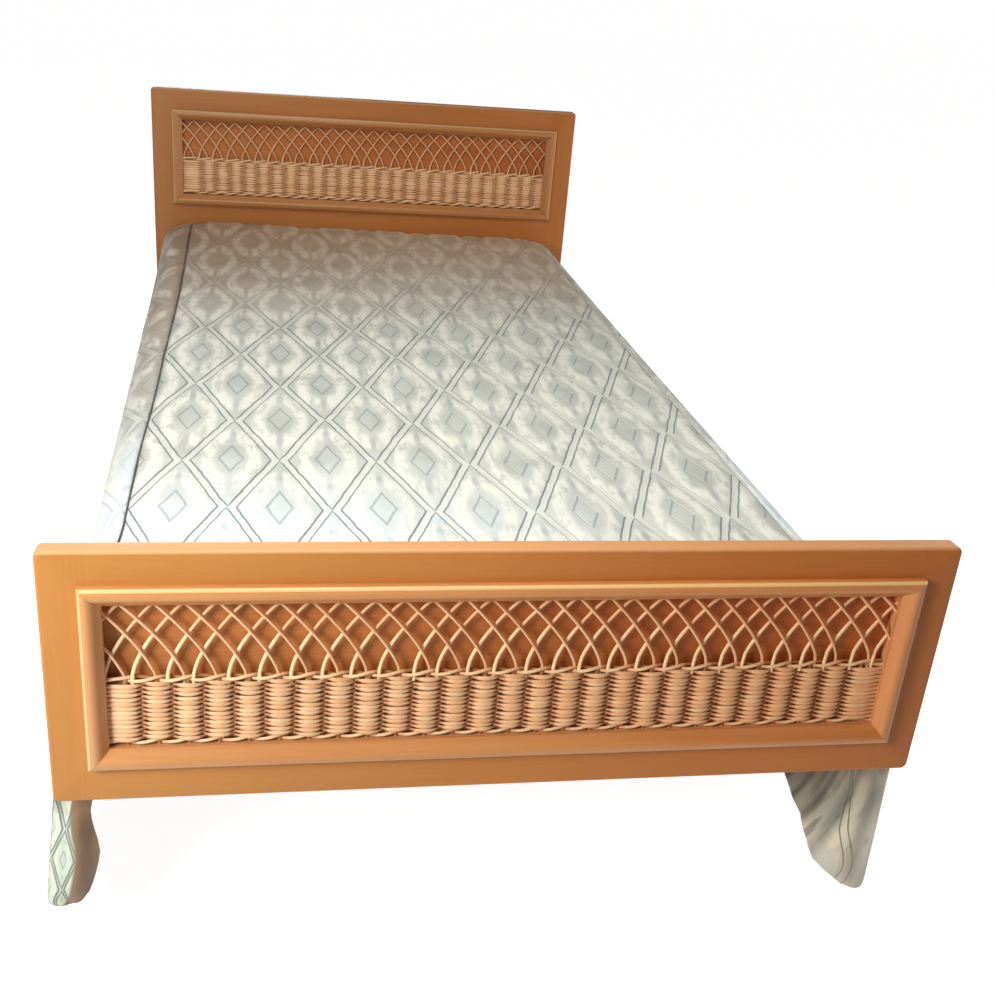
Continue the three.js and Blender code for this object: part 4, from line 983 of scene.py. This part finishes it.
# Quilted satin for the top, or for a side whose loose end starts at the given UV place. The
# figure is drawn by a point's place a, b in its diamond.
def satin(panel, start=None):
    f = Finish(f"quilted satin {panel}", Sheen_Weight=0.1, Sheen_Roughness=0.4)
    onTop, ground, paints, shares = panel == "top", grounds[panel], clothPaints, clothShares
    cloth = f.place("UV")
    across, length, _ = f.axes(cloth)
    u, v = latticeAt(panel, across * 1000, length * 1000)
    thicker = 1.0
    if not onTop:
        loose, lining = f.mark("loose"), f.mark("lining")
        run, fall = start[0] - across * 1000, length * 1000 - start[1]
        middleRun, middleFall, halfRun, halfFall = sideShapes[panel]["cell"]
        u = u + ((run - middleRun) / halfRun - u) * loose
        v = v + ((fall - middleFall) / halfFall - v) * loose
        thicker = 1 - loose * sideShapes[panel]["thick"]
    u = u + (f.noise(cloth, (34, 34, 34), 2) - 0.5) * 0.06
    a, b = inDiamond(u, v)
    sizeA, sizeB = abs(a), abs(b)
    outline = sizeA / (1 - lattice["band"]) + sizeB
    line, onBand = 1 - f.step(abs(outline - 1) * thicker, 0.01, 0.034), f.step(outline, 1.0, 1.03)
    smallA, smallB = figure["small"]
    small = sizeA / smallA + sizeB / smallB
    smallLine, inSmall = 1 - f.step(abs(small - 1), 0.04, 0.17), 1 - f.step(small, 0.85, 1.1)
    if panel == "right":
        band, folds, kept = looseBand, creaseShadePattern, 1 - loose
        middle = band["middle"] - f.step(fall, *band["inwards"]) * band["by"]
        middle = middle + f.step(fall, *band["back"]) * band["backBy"]
        offBand = abs(run - middle) - (fall * band["widening"] + band["least"])
        line = line * kept + (1 - f.step(abs(offBand), 0.35, 1.0)) * loose
        onBand = onBand * kept + (offBand < 0) * loose * 1.5
        smallLine, inSmall = smallLine * kept, inSmall * kept
        # Painted shade in diagonal creases across the right loose end
        most, least = folds["turned"]
        turned = f.join(run * most - fall * least, run * least + fall * most)
        ripples = f.noise(turned, folds["waves"], 2)
        paintedCreaseShade = f.step(ripples, 0.5, 0.66) * (1 - f.step(ripples, 0.66, 0.8) * 0.5)
        paintedCreaseShade = paintedCreaseShade * f.step(run, *folds["across"]) * (1 - f.step(fall, *folds["down"]))
    leafA, leafB = a * figure["leaves"][0], b * figure["leaves"][1]
    ring = (leafA * leafA + leafB * leafB).math("SQRT")
    feather = f.noise(f.join(u * 4.5, v * 3.2), (1, 1, 1), 3, 0.6)
    leaves = (1 - f.step(abs(ring - 1.0), 0.12, 0.44)) * f.step(feather, 0.3, 0.56)
    leaves = leaves * f.step(sizeA * (sizeB + figure["leafRoot"]) * 7.3, 0.1, 0.5)
    spotA, spotB = a * figure["spotAcross"], sizeB - figure["spotAt"]
    fromSpot = (spotA * spotA + spotB * spotB * figure["spotAlong"]).math("SQRT")
    spots = (1 - f.step(fromSpot, 0.2, 1.4)) * f.step(feather, 0.35, 0.55)
    threads = ((across * (2 * math.pi / 0.0011)).math("SINE")
               * (length * (2 * math.pi / 0.0013)).math("SINE"))
    mottle = f.step(f.noise(cloth, (14, 14, 14), 4), 0.35, 0.68)

    bedward = length if onTop else across - lattice["shift"] * 0.001
    # Painted light and shade along the bed: a pool of light at the foot and brown shade towards the
    # head, where the outlines, spots and small diamonds fade as painted by the dim light
    atFoot, atHead = f.step(bedward, *ground["litNear"]), f.step(bedward, *ground["far"])
    if onTop:
        atFoot = atFoot * f.step(across, *ground["lightPoolAcross"])
        lasting = f.step(across, *ground["lasting"])
        faded = f.step(atHead, lasting * 0.2, 0.24 + lasting * 0.55)
    else:
        faded = f.step(atHead, 0.3, 1.0)
    shown = 1 - faded * shares["fading"]
    color = f.mix(atFoot, f.mix(mottle, *paints["ground"]), f.mix(mottle, *paints["litNear"]))
    color = f.mix(atHead, color, f.mix(mottle, *paints["far"]))
    if onTop:
        # Painted deeper brown shade at the far left of the top
        deeperShade = atHead * f.step(across, *ground["deeperShade"]) * shares["farLeft"]
        color = f.mix(deeperShade, color, paints["farLeft"])
    elif panel == "left":
        # The left drop gets painted shade away from the foot and painted brown shade at the head
        color = f.shade(color, 1 - 0.08 * (1 - atFoot))
        color = f.mix(atHead * shares["farLeft"], color, paints["farLeft"])
    color = f.mix(onBand * shares["band"] * (1 - atHead), color, paints["leaf"])
    color = f.mix(leaves * (shares["leaf"] - atHead * shares["leafLoss"]), color,
                  f.mix(atHead, paints["leaf"], paints["shadedLeafFar"]))
    color = f.mix(spots * shares["spot"] * shown, color, paints["spot"])
    color = f.mix(inSmall * shares["small"] * shown, color, paints["small"])
    marks = (line + smallLine * shares["smallLine"]).clipped() * shown * shares["ink"]
    relief = -1.1 * line - smallLine * 0.5 + leaves * 0.4 + threads * 0.05 + feather * 0.4
    if onTop:
        # Painted satin sheen: outlines of one direction turn pale towards the right
        backslash = (a * b < 0) * f.step(across, *ground["pale"])
        color = f.mix(marks, color, f.mix(backslash, paints["line"], paints["sheenPaleLine"]))
    else:
        under = shares["underSeam"]
        marks = marks * (under + f.step(length, 0.12, 0.26) * (1 - under))
        color = f.mix(loose, f.mix(marks, color, paints["line"]), sideShapes[panel]["tint"], "MULTIPLY")
        # The dark share: on the left the lining, partly painted shade; on the right painted shade in
        # the folds, creases and along the top
        liningAndShadeShare = lining
        if panel == "right":
            liningAndShadeShare = lining + paintedCreaseShade * loose * folds["share"] * (shares["creaseShade"] - lining)
        color = f.mix(liningAndShadeShare, color, paints["lining"][panel])
        relief = relief * (1 - lining)
    f.set(Base_Color=f.shade(color, 1 - threads * 0.03), Roughness=0.5 + feather * 0.12 - leaves * 0.12)
    f.bump(relief, 0.0014, 0.75)
    return f


newPiece("bedspread_top_panel", topPiece(), satin("top"), ["bedspread_top"], 80,
         clothShape["thickness"])
for side in ("left", "right"):
    drop, start = dropPiece(side)
    newPiece(f"bedspread_{side}_side", drop, satin(side, start),
             [f"bedspread_{side}_drop"], 80, clothShape["thickness"])
print("bedspread made")


# Piping: a covered cord on the seam, with the twist of its cover in the finish
pipingShape = {
    # The left cord's dark grey is partly painted shade of the seam's groove, and the right cord's pale
    # cream partly a painted highlight
    "left": (-1, "dark_piping", paint(96, 98, 92), paint(62, 62, 58)),
    "right": (1, "pale_piping", paint(226, 220, 198), paint(196, 192, 172)),
    "radius": 1.45, "sides": 10, "corner": 12, "above": 2.4, "rise": 0.4, "wander": 0.8,
}


# A worn cover, its twist a sine of the run along the cord plus the way round it
def pipingFinish(name, light, dark):
    f = Finish(name)
    length, around, _ = f.axes(f.place("UV"))
    wearAndHighlight = f.noise(f.place(), (90, 90, 90), 3)
    f.set(Base_Color=f.mix(wearAndHighlight, light, dark), Roughness=0.62 + wearAndHighlight * 0.2)
    f.bump(((length * 900 + around * 260) * 2).math("SINE"), 0.0004)
    return f


# The seam's way, a little above the mattress, with soft waves up and to the side
def pipingPath(sign):
    p = pipingShape
    angle, along = seamWay(p["corner"])
    x, y = cornerX + seamRadius * np.cos(angle), along + seamRadius * np.sin(angle)
    rise = p["above"] + p["rise"] * softWaves(y, x * 0, 41, 200, 60, 5)
    z = topAt(x, y) - clothShape["lift"] + rise
    x = x + p["wander"] * softWaves(y, x * 0, 43, 300, 90, 5) * (angle == 0)
    return settled(pointsAt(sign * x, y + bedMiddle[1], z))[None]


# The tube's helper takes y as the way to the viewer, so y and z change places for it and back
for side in ("left", "right"):
    sign, slot, light, dark = pipingShape[side]
    path = pipingPath(sign)[:, ::-sign]
    cord, faces, uv, _ = caneTubes(path[..., [0, 2, 1]], pipingShape["radius"], pipingShape["radius"],
                                   pipingShape["sides"])
    newPiece(f"bedspread_{side}_piping", (cord[:, [0, 2, 1]], faces, uv),
             pipingFinish(f"{side} piping", light, dark), [f"{side}_piping"], 60)


# Mattress
mattressShape = {"pull": 3.2, "inset": [32, 120, 240, 360], "straight": (22, 44), "leastRadius": 4}


# A rounded rectangle lying at height z, its straight sides cut into short steps
def lyingLoop(inset, z, steps=10):
    x, y = halfWidth - inset, halfLength - inset
    radius = max(clothShape["cornerRadius"] - inset, mattressShape["leastRadius"])
    loop = standingLoop((-x, -y), (x, y), radius, 0, steps)[:, [0, 2]]
    ring = []
    for corner in range(4):
        part = loop[corner * (steps + 1):(corner + 1) * (steps + 1)]
        after = loop[(corner + 1) * (steps + 1) % len(loop)]
        share = np.linspace(0, 1, mattressShape["straight"][corner % 2] + 1)[1:-1, None]
        ring += [part, part[-1] + (after - part[-1]) * share]
    flat = np.vstack(ring)
    return pointsAt(*flat.T, z)


# Rounded loops of (inset, height) from the bottom face out, up the border, which is drawn in by
# sin(pi z/h), and in over the soft top
def mattressBody():
    m, r = mattressShape, clothShape["edgeRadius"]
    flat = topZ - mattressLow[2] - clothShape["crown"]
    turn = np.linspace(0, np.pi / 2, 7)
    profile = [(inset, 0.0) for inset in m["inset"][::-1]]
    profile += [(r * (1 - np.sin(a)), r * (1 - np.cos(a))) for a in turn[1:]]
    profile += [(m["pull"] * np.sin(np.pi * (z - r) / (flat - 2 * r)), z)
                for z in np.linspace(r, flat - r, 11)[1:-1]]
    profile += [(r * (1 - np.cos(a)), flat - r + r * np.sin(a)) for a in turn[:-1]]
    profile += [(inset, flat) for inset in m["inset"]]
    loops = np.array([lyingLoop(inset, z) for inset, z in profile])
    top = loops[-len(m["inset"]):]
    top[..., 2] = topAt(top[..., 0], top[..., 1]) - clothShape["lift"] - mattressLow[2]
    points = settled(loops.reshape(-1, 3) + [0, bedMiddle[1], mattressLow[2]])
    return points, ringFaces(*loops.shape[:2])


# Blue-grey stripes that run along the bed, on a plain weave
def tickingFinish():
    f = Finish("mattress ticking")
    x, y, _ = f.axes(f.place())
    stripes = f.step((x * (28 * 2 * math.pi)).math("SINE"), 0.55, 0.75)
    weave = (x * 4200).math("SINE") * (y * 4200).math("SINE")
    color = f.mix(stripes * 0.5, paint(232, 228, 216), paint(186, 192, 198))
    f.set(Base_Color=f.shade(color, 1 - weave * 0.04), Roughness=0.85 + weave * 0.05)
    f.bump(weave, 0.0003)
    return f


mattress = newPiece("padded_mattress", mattressBody(), tickingFinish(),
                    ["mattress"], 60)
print("bedding made")

# Floor, light and camera
studio = {
    "floorHalf": 30, "floorColor": paint(208, 208, 208), "glow": 0.91,
    "world": {"Color": (1, 0.985, 0.965, 1), "Strength": 0.13},
    "backdrop": {"Color": (1, 1, 1, 1), "Strength": 1},
}
lamps = {
    "key": {"at": (-1.15, -1.75, 1.05), "towards": (-0.1, -0.9, 0.35), "size": 0.6, "power": 21},
    "top": {"at": (-0.25, -0.7, 1.8), "towards": (-0.25, -0.65, 0.3), "size": 1.0, "power": 18},
    "right": {"at": (2.0, 0.5, 0.8), "towards": (0.4, 0.3, 0.35), "size": 1.2, "power": 11},
    "back": {"at": (-0.5, 2.7, 1.0), "towards": (0, 1, 0.4), "size": 1.2, "power": 12},
}
view = {
    "at": (-0.290, -2.143, 1.087), "right": (0.98186, -0.17231, 0.07909),
    "up": (0.00488, 0.44000, 0.89799), "forward": (0.18953, 0.88131, -0.43286),
    "lens": 46.48, "sensor": 36, "shift": (0.0049, 0.0557),
}

# The floor glows only for the camera, for mirrors and through glass, and keeps its shadows
half = studio["floorHalf"]
floorMesh = bpy.data.meshes.new("floor")
floorMesh.from_pydata([(-half, -half, 0), (half, -half, 0), (half, half, 0), (-half, half, 0)], [],
                      [(0, 1, 2, 3)])
linked("floor", floorMesh)
floorFinish = Finish("studio floor", Roughness=0.9, Base_Color=studio["floorColor"])
direct, mirrored, through = (floorFinish.add("LightPath", out=f"Is {ray} Ray")
                             for ray in ("Camera", "Glossy", "Transmission"))
glow = floorFinish.add("Emission", inputs={"Strength": studio["glow"]})
both = floorFinish.add("AddShader", inputs=[floorFinish.shader, glow])
floorFinish.feed(floorFinish.surface, floorFinish.add("MixShader", inputs=[
    (direct + mirrored + through).clipped(), floorFinish.shader, both]))
floorMesh.materials.append(floorFinish.material)

bpy.context.scene.world = bpy.data.worlds.new("soft studio")
sky = Nodes(bpy.context.scene.world, "OutputWorld")
sky.feed(sky.surface, sky.add("MixShader", inputs=[
    sky.add("LightPath", out="Is Camera Ray"), sky.add("Background", inputs=studio["world"]),
    sky.add("Background", inputs=studio["backdrop"])]))


# A matrix whose columns are an object's own right, up and back, and its place
def standing(right, up, back, at):
    return Matrix([*np.column_stack([right, up, back, at]).tolist(), [0, 0, 0, 1]])


# The matrix of a lamp that shines from one point to another
def lookMatrix(at, towards):
    back = np.array(at, float) - np.array(towards, float)
    back /= np.linalg.norm(back)
    right = np.cross([0, 0, 1.0], back)
    right /= np.linalg.norm(right)
    return standing(right, np.cross(back, right), back, at)


for name, words in lamps.items():
    lamp = bpy.data.lights.new(name, "AREA")
    lamp.shape, lamp.size, lamp.energy = "DISK", words["size"], words["power"]
    lampObject = linked(name, lamp)
    lampObject.matrix_world = lookMatrix(words["at"], words["towards"])
    lampObject.visible_camera = False

camera = bpy.data.cameras.new("camera")
camera.lens, camera.sensor_width = view["lens"], view["sensor"]
camera.shift_x, camera.shift_y = view["shift"]
cameraObject = linked("camera", camera)
cameraObject.matrix_world = standing(view["right"], view["up"], -np.array(view["forward"]), view["at"])
bpy.context.scene.camera = cameraObject
bpy.context.scene.view_settings.view_transform = "Standard"
print("studio made")

bpy.context.view_layer.update()
